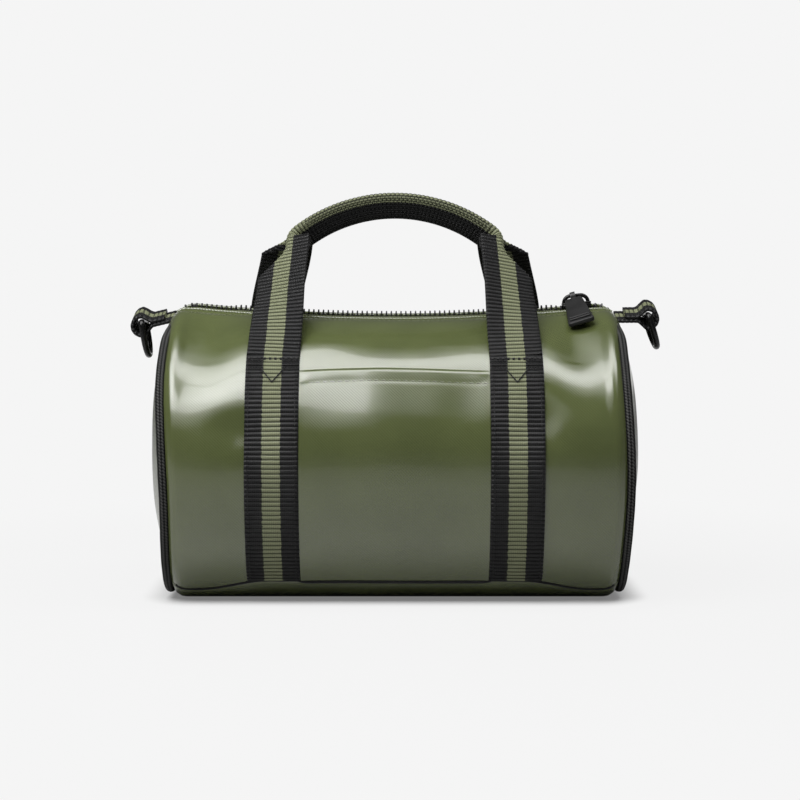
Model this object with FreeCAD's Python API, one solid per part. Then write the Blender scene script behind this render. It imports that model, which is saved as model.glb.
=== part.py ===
# Small barrel bag of coated canvas: a soft cylinder lying on its side, with a zipped top,
# piped round ends, two striped webbing handles and a ring at each end for a shoulder strap.
# Frame: millimetres, origin under the middle of the base, +X along the barrel, -Y the front, +Z up.
import FreeCAD
import Part

import math
import os

from FreeCAD import Rotation, Vector

# Barrel: its cross-section lies in the YZ plane
HALF_DEPTH = 74.0  # centre line to the front skin at the widest level
WIDEST_Z = 66.0  # height of the widest level
SIDE_RISE = 74.0  # from the widest level to the crest at its high points
BASE_FLAT_HALF = 30.0  # half the width that lies on the floor
BASE_SEAM_Z = 9.5  # height of the seam between side panels and base
FOLD_DROP = 24.0  # from the crest down to the handle stitching, where the mouth folds open
ZIP_SAG = 5.0  # how far the zip line hangs in the middle
SHOULDER_LENGTH = 8.4  # length over which each end turns in
SHOULDER_INSET = 4.0  # how far each end turns in
MOUTH_HALF = 78.0  # half the length of the mouth that folds open
SHUT_LENGTH = 19.0  # from each end of the mouth to the zip line's high point, sewn shut
END_DOME = 11.0  # bulge of the round end panels

# Sheet goods
PANEL_T = 1.0
LINING_T = 0.4
TAPE_T = 0.6
POCKET_T = 0.9
WEBBING_T = 1.4
LAYER_GAP = 0.1  # between one sewn layer and the next
FOLD_GAP = 0.3  # between the mouth flaps and the panels round them

# Webbing, pocket and handles
WEBBING_W = 25.0
STRAP_X = 57.0  # middle of each strap
POCKET_DROP = 5.0  # from the handle stitching down to the pocket's hem
GRIP_ARCH_R = 66.0  # outer radius of the folded grip
GRIP_STEP = 10.0  # from the top of a flat leg up to the middle of the grip's end
GRIP_HALF_ANGLE = 42.0  # the grip runs this far either side of the top
GRIP_T = 4.2  # across the two layers of folded webbing
GRIP_GAP = 1.2  # between the front and rear grips
LEG_START = 2.2  # from the stitching to where the free leg starts
LEG_STATIONS = 5
GRIP_STATIONS = 13

# Piping and end panels
PIPING_R = 2.4
PIPING_WALL = 0.7
PIPING_SEAT = 0.15  # clearance between the piping and what is sewn to it

# Zip
ZIP_EDGE_GAP = 0.5  # between the slider and each panel's folded edge
TAPE_HALF = 15.0  # centre line to the tape's sewn edge
TAPE_EDGE = 1.6  # centre line to the tape's toothed edge
LINING_SETBACK = 2.3  # from a panel's folded edge back to the lining's
TOOTH_PITCH = 2.4
TOOTH_GAP = 0.2  # between a tooth and its neighbours in the other row
TOOTH_HEIGHT = 3.2
TOOTH_GRIP = 1.0  # how far a tooth reaches over the tape
TOOTH_REACH = 0.9  # how far a tooth reaches past the centre line
TOOTH_SLOT_PLAY = 0.3  # round the tape in a tooth's slot
PARTING_LEAD = 3.0  # how far behind the slider's middle the rows start to part
PARTING_LENGTH = 5.0  # over which they part
STOP_LENGTH = 1.8

# Slider and puller
SLIDER_LENGTH = 13.0
SLIDER_STOP_GAP = 0.5  # left beyond the slider with the zip closed
SLIDER_SIDE_PLAY = 1.0  # beside the teeth
SLIDER_PLATE = 1.2
SLIDER_FLANGE = 0.9
SLIDER_PLAY = 0.5  # over and under the teeth
SLIDER_TAPE_PLAY = 0.85  # over and under the tape
SLIDER_POST_HALF = 0.9
SLIDER_POST_LENGTH = 3.4
SLIDER_POST_PLAY = 0.4  # between the post and the parted teeth
BAIL_R = 0.95
BAIL_SETBACK = 1.2  # from each end of the slider to the bail's foot
BAIL_RISE = 3.9
BAIL_CORNER_R = 1.6
KNUCKLE_PLAY = 0.12
KNUCKLE_WALL = 0.9
KNUCKLE_LENGTH = 4.2
PULLER_LENGTH = 31.0
PULLER_TOP_W = 8.6
PULLER_END_W = 13.0
PULLER_T = 2.4
PULLER_SKEW = 7.0  # degrees that the puller hangs askew on its eye
PULLER_REST_GAP = 0.8  # least room between the puller and the front slope, along the whole zip
PULLER_RIB_T = 0.6
PULLER_RIB_W = 1.2

# Rings and their tabs
RING_WIRE_R = 1.5
RING_INNER_W = 16.0
RING_DEPTH = 16.5  # from the bar to the bow, between wire centres
RING_CORNER_R = 2.2
RING_OUT = 16.6  # from the piping's centre to the ring's bar
RING_BELOW_SEAM = {"left": 4.0, "right": 0.5}  # from the top of the end seam down to each bar
RING_TILT = {"left": 9.0, "right": 18.0}  # degrees that each ring hangs off plumb, towards +X
TAB_SIDE_PLAY = 1.0  # of the ring's width that the tab leaves free
TAB_T = 1.3
TAB_PLAY = 0.25  # between the ring's bar and the webbing round it
TAB_TAIL_SETBACK = 2.0  # from the tab's root to the cut end of its tail

# Base board
BOARD_T = 1.5
BOARD_OVERHANG = 1.0  # past the flat of the base, each side
BOARD_END_GAP = 6.0
BOARD_CORNER_R = 12.0

TINY = 1e-6  # lengths closer than this are taken as equal

# Worked-out sizes: barrel
SIDE_TOP_Z = WIDEST_Z + SIDE_RISE
FOLD_Z = SIDE_TOP_Z - FOLD_DROP
FOLD_ANGLE = math.asin((FOLD_Z - WIDEST_Z) / SIDE_RISE)
FOLD_Y = -HALF_DEPTH * math.cos(FOLD_ANGLE)
LEG_RISE_ANGLE = math.atan2(SIDE_RISE * math.cos(FOLD_ANGLE), HALF_DEPTH * math.sin(FOLD_ANGLE))
CREST_HALF = MOUTH_HALF + SHUT_LENGTH
ZIP_ARC_R = (CREST_HALF**2 + ZIP_SAG**2) / (2 * ZIP_SAG)
ZIP_ARC_Z = SIDE_TOP_Z - ZIP_SAG + ZIP_ARC_R
SKIN_END_X = CREST_HALF + SHOULDER_LENGTH
SEAM_TOP_Z = SIDE_TOP_Z - SHOULDER_INSET
PIPING_X = SKIN_END_X + PIPING_SEAT + PIPING_R
PIPING_INSET = SHOULDER_INSET + PIPING_R / 4

# Worked-out sizes: layers and zip
TAPE_INSET = PANEL_T + LAYER_GAP
LINING_INSET = TAPE_INSET + TAPE_T + LAYER_GAP
TOOTH_INSET = TAPE_INSET + TAPE_T / 2
TOOTH_W = TOOTH_PITCH / 2 - TOOTH_GAP
ZIP_PARTING = TOOTH_REACH + SLIDER_POST_HALF + SLIDER_POST_PLAY
SLIDER_X = CREST_HALF - SLIDER_STOP_GAP - SLIDER_LENGTH / 2
SLIDER_NARROW_HALF = TAPE_EDGE + TOOTH_GRIP + SLIDER_SIDE_PLAY + SLIDER_FLANGE
SLIDER_WIDE_HALF = SLIDER_NARROW_HALF + ZIP_PARTING
SLIDER_CHANNEL = TOOTH_HEIGHT / 2 + SLIDER_PLAY
SLIDER_TOP = SLIDER_CHANNEL + SLIDER_PLATE
ZIP_OPENING_HALF = SLIDER_WIDE_HALF + ZIP_EDGE_GAP
LINING_EDGE = ZIP_OPENING_HALF + LINING_SETBACK
BAIL_LENGTH = SLIDER_LENGTH - 2 * BAIL_SETBACK
BAIL_AXIS = SLIDER_TOP + BAIL_RISE
KNUCKLE_X = BAIL_CORNER_R + KNUCKLE_LENGTH / 2 - BAIL_LENGTH / 2


def save(name, shape):
    """Write one node's solids to parts/."""
    solids = shape.Solids
    if not solids or not all(s.isValid() and s.Volume > 0 for s in solids):
        raise ValueError(f"{name} is not a set of valid solids")
    Part.makeCompound(solids).exportStep(f"parts/{name}.step")
    print(f"{name}: {len(solids)} solid(s), {sum(s.Volume for s in solids):.1f} mm3")


def mirrored(shape, axis):
    """The same shape on the other side of the middle plane across axis."""
    return shape.mirror(Vector(), axis)


def joined(shapes):
    """One solid from pieces that meet face to face."""
    return shapes[0].multiFuse(shapes[1:]).removeSplitter()


def segment(start, end):
    return Part.LineSegment(start, end).toShape()


def closed_solid(edges, sweep):
    """Extrude the face that a closed loop of edges bounds."""
    return Part.Face(Part.Wire(edges)).extrude(sweep)


def ellipse_arc(x, centre_y, centre_z, semi_y, semi_z, start, end):
    """Arc of an ellipse in the plane at x; angles in radians from +Y towards +Z."""
    centre = Vector(x, centre_y, centre_z)
    if abs(semi_y - semi_z) < TINY:
        angles = (start, (start + end) / 2, end)
        points = [centre + Vector(0, math.cos(a), math.sin(a)) * semi_y for a in angles]
        return Part.Arc(*points).toShape()
    if semi_y > semi_z:
        curve = Part.Ellipse(centre + Vector(0, semi_y, 0), centre + Vector(0, 0, semi_z), centre)
        turn = 0.0
    else:
        curve = Part.Ellipse(centre + Vector(0, 0, semi_z), centre - Vector(0, semi_y, 0), centre)
        turn = math.pi / 2
    return Part.ArcOfEllipse(curve, start - turn, end - turn).toShape()


def ends(edge):
    return edge.valueAt(edge.FirstParameter), edge.valueAt(edge.LastParameter)


def crest_z(x):
    """Height of the outer skin on the zip line, which hangs in an arc between its high points."""
    reach = min(abs(x), CREST_HALF)
    return ZIP_ARC_Z - math.sqrt(ZIP_ARC_R**2 - reach**2)


def shoulder(x):
    """How far the skin has turned in at x."""
    past = max(0.0, abs(x) - CREST_HALF)
    return SHOULDER_INSET * (past / SHOULDER_LENGTH) ** 2


def crest_arc(x):
    """Centre and radius of the arc over the crest, level on the zip line and meeting both folds."""
    rise = crest_z(x) - FOLD_Z
    radius = (FOLD_Y**2 + rise**2) / (2 * rise)
    return Vector(x, 0, crest_z(x) - radius), radius


def crest_point(x, y, inset):
    """Point of the front crest arc above a given y."""
    centre, radius = crest_arc(x)
    radius -= inset + shoulder(x)
    return Vector(x, y, centre.z + math.sqrt(radius**2 - y**2))


def fold_point(x, inset):
    """Where the side meets the front crest arc."""
    turned = inset + shoulder(x)
    y = -(HALF_DEPTH - turned) * math.cos(FOLD_ANGLE)
    return Vector(x, y, WIDEST_Z + (SIDE_RISE - turned) * math.sin(FOLD_ANGLE))


def crest_edge(x, inset, start_gap, edge_y):
    """Arc of the front skin from the fold, or start_gap above it, to edge_y."""
    start = fold_point(x, inset)
    if start_gap > 0:
        start = crest_point(x, start.y + start_gap * math.cos(LEG_RISE_ANGLE), inset)
    end = crest_point(x, edge_y, inset)
    middle = crest_point(x, (start.y + end.y) / 2, inset)
    return Part.Arc(start, middle, end).toShape()


def strip_wire(x, outer, inner, start_gap, edge_y):
    """Closed section of a layer of the front crest between two insets."""
    out_edge = crest_edge(x, outer, start_gap, edge_y)
    in_edge = crest_edge(x, inner, start_gap, edge_y)
    out_start, out_end = ends(out_edge)
    in_start, in_end = ends(in_edge)
    return Part.Wire([out_edge, segment(out_end, in_end), in_edge, segment(in_start, out_start)])


def tape_wire(x, edge_y):
    """Closed section of the front zip tape, from its sewn edge to edge_y."""
    edges = []
    corners = []
    for inset in (TAPE_INSET, TAPE_INSET + TAPE_T):
        start = crest_point(x, -TAPE_HALF, inset)
        end = crest_point(x, edge_y, inset)
        edges.append(Part.Arc(start, crest_point(x, (start.y + end.y) / 2, inset), end).toShape())
        corners.append((start, end))
    (out_start, out_end), (in_start, in_end) = corners
    return Part.Wire([edges[0], segment(out_end, in_end), edges[1], segment(in_start, out_start)])


def side_edges(x, inset, base_z, top_angle):
    """Front skin from base_z up to top_angle: the lower quarter ellipse, then the side."""
    turned = inset + shoulder(x)
    low_y = HALF_DEPTH - BASE_FLAT_HALF - turned
    low_z = WIDEST_Z - turned
    sink = math.asin((WIDEST_Z - base_z - shoulder(x)) / low_z)
    low = ellipse_arc(x, -BASE_FLAT_HALF, WIDEST_Z, low_y, low_z, math.pi, math.pi + sink)
    side = ellipse_arc(
        x, 0, WIDEST_Z, HALF_DEPTH - turned, SIDE_RISE - turned, math.pi - top_angle, math.pi
    )
    return low, side


def side_wire(x, outer, inner, base_z, crest_edge_y=None, top_angle=FOLD_ANGLE):
    """Closed section of a front layer from base_z to top_angle, or on over the crest to crest_edge_y."""
    out_low, out_side = side_edges(x, outer, base_z, top_angle)
    in_low, in_side = side_edges(x, inner, base_z, top_angle)
    edges = [out_low, out_side]
    inner_edges = [in_side, in_low]
    out_top = ends(out_side)[0]
    in_top = ends(in_side)[0]
    if crest_edge_y is not None:
        out_crest = crest_edge(x, outer, 0.0, crest_edge_y)
        in_crest = crest_edge(x, inner, 0.0, crest_edge_y)
        edges.append(out_crest)
        inner_edges.insert(0, in_crest)
        out_top = ends(out_crest)[1]
        in_top = ends(in_crest)[1]
    edges.append(segment(out_top, in_top))
    edges.extend(inner_edges)
    edges.append(segment(ends(in_low)[1], ends(out_low)[1]))
    return Part.Wire(Part.__sortEdges__(edges))


def stations(start, end, count):
    """Evenly spaced values from start to end."""
    return [start + (end - start) * i / (count - 1) for i in range(count)]


def lofted(wires, ruled=False):
    return Part.makeLoft(list(wires), True, ruled)


def prism(wire, length):
    return Part.Face(wire).extrude(Vector(length, 0, 0))


def shoulder_stations():
    return stations(CREST_HALF, SKIN_END_X, 4)


def front_panel():
    """Front sheet below the fold, with the corners that stay sewn shut at each end of the mouth."""
    side = prism(side_wire(-CREST_HALF, 0, PANEL_T, BASE_SEAM_Z), 2 * CREST_HALF)
    corner = lofted(
        strip_wire(x, 0, PANEL_T, 0.0, -ZIP_OPENING_HALF)
        for x in stations(MOUTH_HALF + FOLD_GAP, CREST_HALF, 3)
    )
    turned = lofted(
        [side_wire(x, 0, PANEL_T, BASE_SEAM_Z, -ZIP_OPENING_HALF) for x in shoulder_stations()]
    )
    across = Vector(1, 0, 0)
    return joined([side, corner, turned, mirrored(corner, across), mirrored(turned, across)])


def base_edges(x, inset):
    """Base skin from the front seam to the rear seam."""
    turned = inset + shoulder(x)
    low_y = HALF_DEPTH - BASE_FLAT_HALF - turned
    low_z = WIDEST_Z - turned
    sink = math.asin((WIDEST_Z - BASE_SEAM_Z + LAYER_GAP - shoulder(x)) / low_z)
    bottom = 1.5 * math.pi
    front = ellipse_arc(x, -BASE_FLAT_HALF, WIDEST_Z, low_y, low_z, math.pi + sink, bottom)
    rear = ellipse_arc(x, BASE_FLAT_HALF, WIDEST_Z, low_y, low_z, bottom, 2 * math.pi - sink)
    return [front, segment(ends(front)[1], ends(rear)[0]), rear]


def base_wire(x):
    """Closed section of the base panel."""
    outer = base_edges(x, 0)
    inner = base_edges(x, PANEL_T)
    front = segment(ends(outer[0])[0], ends(inner[0])[0])
    rear = segment(ends(outer[2])[1], ends(inner[2])[1])
    return Part.Wire(Part.__sortEdges__([*outer, rear, *inner, front]))


def base_panel():
    """Base sheet between the two low seams; its middle lies flat on the floor."""
    flat = prism(base_wire(-CREST_HALF), 2 * CREST_HALF)
    turned = lofted(base_wire(x) for x in shoulder_stations())
    return joined([flat, turned, mirrored(turned, Vector(1, 0, 0))])


def end_loop(x, inset):
    """Closed outline of the barrel's end, drawn in by inset."""
    half_y = HALF_DEPTH - inset
    low_y = half_y - BASE_FLAT_HALF
    low_z = WIDEST_Z - inset
    bottom = 1.5 * math.pi
    over = ellipse_arc(x, 0, WIDEST_Z, half_y, SIDE_RISE - inset, 0, math.pi)
    front = ellipse_arc(x, -BASE_FLAT_HALF, WIDEST_Z, low_y, low_z, math.pi, bottom)
    rear = ellipse_arc(x, BASE_FLAT_HALF, WIDEST_Z, low_y, low_z, bottom, 2 * math.pi)
    return Part.Wire([over, front, segment(ends(front)[1], ends(rear)[0]), rear])


def dome():
    """Centre and radius of the right end panel's outer face, which is part of a sphere."""
    rim = HALF_DEPTH - PIPING_INSET - PIPING_R - PIPING_SEAT
    radius = (rim**2 + END_DOME**2) / (2 * END_DOME)
    return Vector(PIPING_X + PANEL_T / 2 + END_DOME - radius, 0, SIDE_TOP_Z / 2), radius


def right_end_panel():
    """Round end sheet, bulging outwards, inside its ring of piping."""
    centre, radius = dome()
    facing = FreeCAD.Placement(centre, Rotation(Vector(0, 0, 1), 180))
    shell = Part.makeSphere(radius)
    shell.Placement = facing
    hollow = Part.makeSphere(radius - PANEL_T)
    hollow.Placement = facing
    rim = end_loop(PIPING_X - 2 * PIPING_R, PIPING_INSET + PIPING_R + PIPING_SEAT)
    blank = prism(rim, 4 * PIPING_R + END_DOME)
    return blank.common(shell).cut(hollow)


def swept(path, radius):
    """Round wire along a path, starting at the path's first point."""
    first = path.OrderedEdges[0]
    start = first.valueAt(first.FirstParameter)
    tangent = first.tangentAt(first.FirstParameter)
    section = Part.Wire(Part.makeCircle(radius, start, tangent))
    return path.makePipeShell([section], True, False)


def right_piping():
    """Woven sleeve and the cord inside it, round the right end seam."""
    path = end_loop(PIPING_X, PIPING_INSET)
    bore = PIPING_R - PIPING_WALL
    sleeve = swept(path, PIPING_R).cut(swept(path, bore))
    return sleeve, swept(path, bore - LAYER_GAP)


def sewn_strip(middle_x, width, thickness, top_angle):
    """Strip sewn on the front skin from the base seam up to top_angle above the widest level."""
    wire = side_wire(0, -LAYER_GAP - thickness, -LAYER_GAP, BASE_SEAM_Z, top_angle=top_angle)
    strip = prism(wire, width)
    strip.translate(Vector(middle_x - width / 2, 0, 0))
    return strip


def cradle_edges(x, inset):
    """Barrel outline from the front fold under the base to the rear fold."""
    half_y = HALF_DEPTH - inset
    low_y = half_y - BASE_FLAT_HALF
    low_z = WIDEST_Z - inset
    rise = SIDE_RISE - inset
    bottom = 1.5 * math.pi
    front_side = ellipse_arc(x, 0, WIDEST_Z, half_y, rise, math.pi - FOLD_ANGLE, math.pi)
    front_low = ellipse_arc(x, -BASE_FLAT_HALF, WIDEST_Z, low_y, low_z, math.pi, bottom)
    rear_low = ellipse_arc(x, BASE_FLAT_HALF, WIDEST_Z, low_y, low_z, bottom, 2 * math.pi)
    rear_side = ellipse_arc(x, 0, WIDEST_Z, half_y, rise, 0, FOLD_ANGLE)
    floor = segment(ends(front_low)[1], ends(rear_low)[0])
    return [front_side, front_low, floor, rear_low, rear_side]


def lining_body():
    """Lining of the base and sides, and of the corners that stay shut."""
    inset = LINING_INSET + LINING_T
    outer = cradle_edges(-CREST_HALF, LINING_INSET)
    inner = cradle_edges(-CREST_HALF, inset)
    front_hem = segment(ends(outer[0])[0], ends(inner[0])[0])
    rear_hem = segment(ends(outer[-1])[1], ends(inner[-1])[1])
    loop = Part.Wire(Part.__sortEdges__([*outer, rear_hem, *inner, front_hem]))
    cradle = prism(loop, 2 * CREST_HALF)
    corner = lofted(
        strip_wire(x, LINING_INSET, inset, 0.0, -LINING_EDGE)
        for x in stations(MOUTH_HALF + FOLD_GAP, CREST_HALF, 3)
    )
    corners = [corner, mirrored(corner, Vector(1, 0, 0))]
    return joined([cradle, *corners, *(mirrored(s, Vector(0, 1, 0)) for s in corners)])


def right_lining_end():
    """Lining of the right end, notched at the top for the zip."""
    plate = prism(end_loop(CREST_HALF + LAYER_GAP, LINING_INSET), LINING_T)
    depth = TOOTH_INSET + SLIDER_TOP + LINING_T
    notch = Part.makeBox(
        4 * LINING_T, 2 * LINING_EDGE, 2 * depth,
        Vector(CREST_HALF - LINING_T, -LINING_EDGE, SIDE_TOP_Z - depth),
    )
    return plate.cut(notch)


def base_board():
    """Stiff board with round corners, lying loose on the lining."""
    length = 2 * (CREST_HALF - BOARD_END_GAP)
    half_width = BASE_FLAT_HALF + BOARD_OVERHANG
    floor_z = LINING_INSET + LINING_T + LAYER_GAP
    board = Part.makeBox(
        length, 2 * half_width, BOARD_T, Vector(-length / 2, -half_width, floor_z)
    )
    upright = [e for e in board.Edges if abs(e.tangentAt(e.FirstParameter).z) > 0.5]
    return board.makeFillet(BOARD_CORNER_R, upright)


def mouth_strip(outer, inner, edge_y):
    """Layer of the front mouth flap, from the fold to edge_y."""
    return lofted(
        strip_wire(x, outer, inner, FOLD_GAP, edge_y) for x in stations(-MOUTH_HALF, MOUTH_HALF, 7)
    )


def parting(x):
    """How far the right end's tooth rows stand aside to let the slider's post between them."""
    share = (x - SLIDER_X + PARTING_LEAD) / PARTING_LENGTH
    return ZIP_PARTING * min(1.0, max(0.0, share))


def end_tape(side):
    """Front zip tape at one end, beyond the mouth; side is -1 for left and 1 for right."""
    parting_x = SLIDER_X - PARTING_LEAD
    reaches = [MOUTH_HALF + FOLD_GAP, parting_x, parting_x + PARTING_LENGTH]
    reaches += [*shoulder_stations()[:-1], SKIN_END_X - LAYER_GAP]
    wires = []
    for reach in reaches:
        aside = parting(reach) if side > 0 else 0.0
        wires.append(tape_wire(side * reach, -TAPE_EDGE - aside))
    return lofted(wires, ruled=True)


def on_tape(shape, x, aside=0.0):
    """Set a shape drawn at the origin on the front tape's toothed edge at x."""
    edge_y = -TAPE_EDGE - aside
    step = 0.01
    point = crest_point(x, edge_y, TOOTH_INSET)
    along = crest_point(x + step, edge_y, TOOTH_INSET) - crest_point(x - step, edge_y, TOOTH_INSET)
    across = crest_point(x, edge_y + step, TOOTH_INSET) - crest_point(x, edge_y - step, TOOTH_INSET)
    climb = math.degrees(math.atan2(along.z, along.x))
    roll = math.degrees(math.atan2(across.z, across.y))
    turn = Rotation(Vector(0, 1, 0), -climb) * Rotation(Vector(1, 0, 0), roll)
    placed = shape.copy()
    placed.Placement = FreeCAD.Placement(point, turn)
    return placed


def tape_clip(length, head, height):
    """Block that grips the tape's edge in a slot and reaches head past it."""
    block = Part.makeBox(
        length, TOOTH_GRIP + head, height, Vector(-length / 2, -TOOTH_GRIP, -height / 2)
    )
    slot_t = TAPE_T + 2 * TOOTH_SLOT_PLAY
    slot = Part.makeBox(
        2 * length, 2 * TOOTH_GRIP, slot_t,
        Vector(-length, TOOTH_SLOT_PLAY - 2 * TOOTH_GRIP, -slot_t / 2),
    )
    return block.cut(slot)


def tooth_row(phase, start, end, aside):
    """Front teeth whose middles lie between start and end; phase is in pitches."""
    tooth = tape_clip(TOOTH_W, TAPE_EDGE + TOOTH_REACH, TOOTH_HEIGHT)
    first = math.ceil(start / TOOTH_PITCH - phase)
    last = math.floor(end / TOOTH_PITCH - phase)
    spots = [(i + phase) * TOOTH_PITCH for i in range(first, last + 1)]
    return Part.makeCompound([on_tape(tooth, x, aside(x)) for x in spots])


def both_rows(start, end, aside):
    """Front and rear rows of one stretch, set half a pitch apart so that they mesh."""
    rear = mirrored(tooth_row(-0.25, start, end, aside), Vector(0, 1, 0))
    return tooth_row(0.25, start, end, aside), rear


def zip_stops():
    """Two top stops at the right, one on each tape, and a bottom stop across both at the left."""
    stop_x = CREST_HALF + STOP_LENGTH
    top = on_tape(tape_clip(STOP_LENGTH, TOOTH_REACH, TOOTH_HEIGHT), stop_x, ZIP_PARTING)
    half = on_tape(tape_clip(STOP_LENGTH, TAPE_EDGE, TOOTH_HEIGHT), -stop_x)
    bottom = joined([half, mirrored(half, Vector(0, 1, 0))])
    return Part.makeCompound([top, mirrored(top, Vector(0, 1, 0))]), bottom


def slider_frame():
    """Where the slider sits on the zip line, level with the tape and in line with its slope."""
    climb = math.degrees(math.asin(SLIDER_X / ZIP_ARC_R))
    return FreeCAD.Placement(
        Vector(SLIDER_X, 0, crest_z(SLIDER_X) - TOOTH_INSET), Rotation(Vector(0, 1, 0), -climb)
    )


def wedge(narrow_half, wide_half, length, low, high):
    """Slab that widens along +X."""
    half = length / 2
    corners = [(-half, -narrow_half), (half, -wide_half), (half, wide_half), (-half, narrow_half)]
    points = [Vector(x, y, low) for x, y in corners]
    return Part.Face(Part.makePolygon([*points, points[0]])).extrude(Vector(0, 0, high - low))


def zip_slider():
    """Two flanged plates joined by a post that parts the rows of teeth."""
    lip = TAPE_T / 2 + SLIDER_TAPE_PLAY
    plate = wedge(SLIDER_NARROW_HALF, SLIDER_WIDE_HALF, SLIDER_LENGTH, lip, SLIDER_TOP)
    upright = [e for e in plate.Edges if abs(e.tangentAt(e.FirstParameter).z) > 0.5]
    plate = plate.makeFillet(SLIDER_FLANGE, upright)
    way = wedge(
        SLIDER_NARROW_HALF - SLIDER_FLANGE, SLIDER_WIDE_HALF - SLIDER_FLANGE,
        SLIDER_LENGTH + LAYER_GAP, lip - LAYER_GAP, SLIDER_CHANNEL,
    )
    half = plate.cut(way)
    post_x = SLIDER_LENGTH / 2 - SLIDER_POST_LENGTH - SLIDER_FLANGE
    post = Part.makeBox(
        SLIDER_POST_LENGTH, 2 * SLIDER_POST_HALF, 2 * SLIDER_CHANNEL,
        Vector(post_x, -SLIDER_POST_HALF, -SLIDER_CHANNEL),
    )
    upright = [e for e in post.Edges if abs(e.tangentAt(e.FirstParameter).z) > 0.5]
    post = post.makeFillet(SLIDER_POST_HALF - LAYER_GAP, upright)
    return joined([half, post, half.mirror(Vector(), Vector(0, 0, 1))])


def slider_bail():
    """Staple of round wire standing on the slider, its bar along the zip."""
    half = BAIL_LENGTH / 2
    high = BAIL_AXIS
    foot = high - BAIL_RISE
    bend = BAIL_CORNER_R * math.sqrt(0.5)
    edges = [segment(Vector(-half, 0, foot), Vector(-half, 0, high - BAIL_CORNER_R))]
    for side in (-1, 1):
        centre = Vector(side * (half - BAIL_CORNER_R), 0, high - BAIL_CORNER_R)
        low = centre + Vector(side * BAIL_CORNER_R, 0, 0)
        top = centre + Vector(0, 0, BAIL_CORNER_R)
        corner = centre + Vector(side * bend, 0, bend)
        if side < 0:
            edges.append(Part.Arc(low, corner, top).toShape())
            edges.append(segment(top, Vector(-top.x, 0, top.z)))
        else:
            edges.append(Part.Arc(top, corner, low).toShape())
            edges.append(segment(low, Vector(half, 0, foot)))
    return swept(Part.Wire(edges), BAIL_R)


def puller_droop():
    """Degrees below level at which the puller lies along the front slope where it is flattest."""
    radius = crest_arc(0)[1]
    bar = radius - TOOTH_INSET + BAIL_AXIS
    reach = radius + PULLER_REST_GAP + PULLER_T / 2
    return math.degrees(math.acos(reach / bar))


def zip_puller():
    """Flat tapered puller with an eye round the bail, drawn along -Y from the bail's bar."""
    eye_r = BAIL_R + KNUCKLE_PLAY
    barrel_r = eye_r + KNUCKLE_WALL
    left = KNUCKLE_X - KNUCKLE_LENGTH / 2
    along = Vector(1, 0, 0)
    barrel = Part.makeCylinder(barrel_r, KNUCKLE_LENGTH, Vector(left, 0, 0), along)
    neck = Part.makeBox(
        KNUCKLE_LENGTH, 2 * barrel_r, PULLER_T, Vector(left, -2 * barrel_r, -PULLER_T / 2)
    )
    top_y = -barrel_r - KNUCKLE_WALL
    corners = [
        (-PULLER_TOP_W / 2, top_y),
        (-PULLER_END_W / 2, top_y - PULLER_LENGTH),
        (PULLER_END_W / 2, top_y - PULLER_LENGTH),
        (PULLER_TOP_W / 2, top_y),
    ]
    points = [Vector(x, y, -PULLER_T / 2) for x, y in corners]
    plate = Part.Face(Part.makePolygon([*points, points[0]])).extrude(Vector(0, 0, PULLER_T))
    upright = [e for e in plate.Edges if abs(e.tangentAt(e.FirstParameter).z) > 0.5]
    plate = plate.makeFillet(PULLER_RIB_W, upright)
    ribs = []
    for i in (1, 3):
        rib_y = top_y - PULLER_LENGTH + (i + 1) * PULLER_RIB_W
        width = PULLER_END_W - 4 * PULLER_RIB_W
        ribs.append(
            Part.makeBox(
                width, PULLER_RIB_W, PULLER_RIB_T, Vector(-width / 2, rib_y, PULLER_T / 2)
            )
        )
    plate = joined([plate, *ribs])
    plate.rotate(Vector(0, top_y, 0), Vector(0, 0, 1), PULLER_SKEW)
    plate.translate(Vector(KNUCKLE_X, 0, 0))
    eye = Part.makeCylinder(eye_r, 2 * KNUCKLE_LENGTH, Vector(left - KNUCKLE_LENGTH / 2, 0, 0), along)
    puller = joined([barrel, neck, plate]).cut(eye)
    puller.rotate(Vector(), along, puller_droop())
    puller.translate(Vector(0, 0, BAIL_AXIS))
    return puller


def on_zip(shape):
    """Move a shape drawn in the slider's own frame to its place on the zip."""
    placed = shape.copy()
    placed.Placement = slider_frame().multiply(placed.Placement)
    return placed


def ring_bar(side):
    """Middle of a ring's bar, drawn at the right end for either side."""
    return Vector(PIPING_X + RING_OUT, 0, SEAM_TOP_Z - RING_BELOW_SEAM[side])


def d_ring(side):
    """Wire ring with a straight bar, hanging from the tab at one end."""
    half = RING_INNER_W / 2 + RING_WIRE_R
    turn = half - RING_CORNER_R
    bend = RING_CORNER_R * (1 - math.sqrt(0.5))
    bow = RING_DEPTH - half
    edges = [
        segment(Vector(0, -turn, 0), Vector(0, turn, 0)),
        Part.Arc(
            Vector(0, turn, 0), Vector(0, half - bend, -bend), Vector(0, half, -RING_CORNER_R)
        ).toShape(),
        segment(Vector(0, half, -RING_CORNER_R), Vector(0, half, -bow)),
        Part.Arc(Vector(0, half, -bow), Vector(0, 0, -RING_DEPTH), Vector(0, -half, -bow)).toShape(),
        segment(Vector(0, -half, -bow), Vector(0, -half, -RING_CORNER_R)),
        Part.Arc(
            Vector(0, -half, -RING_CORNER_R), Vector(0, bend - half, -bend), Vector(0, -turn, 0)
        ).toShape(),
    ]
    ring = swept(Part.Wire(edges), RING_WIRE_R)
    ring.rotate(Vector(), Vector(0, 1, 0), -RING_TILT[side])
    bar = ring_bar(side)
    ring.translate(Vector(-bar.x if side == "left" else bar.x, 0, bar.z))
    return ring


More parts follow.
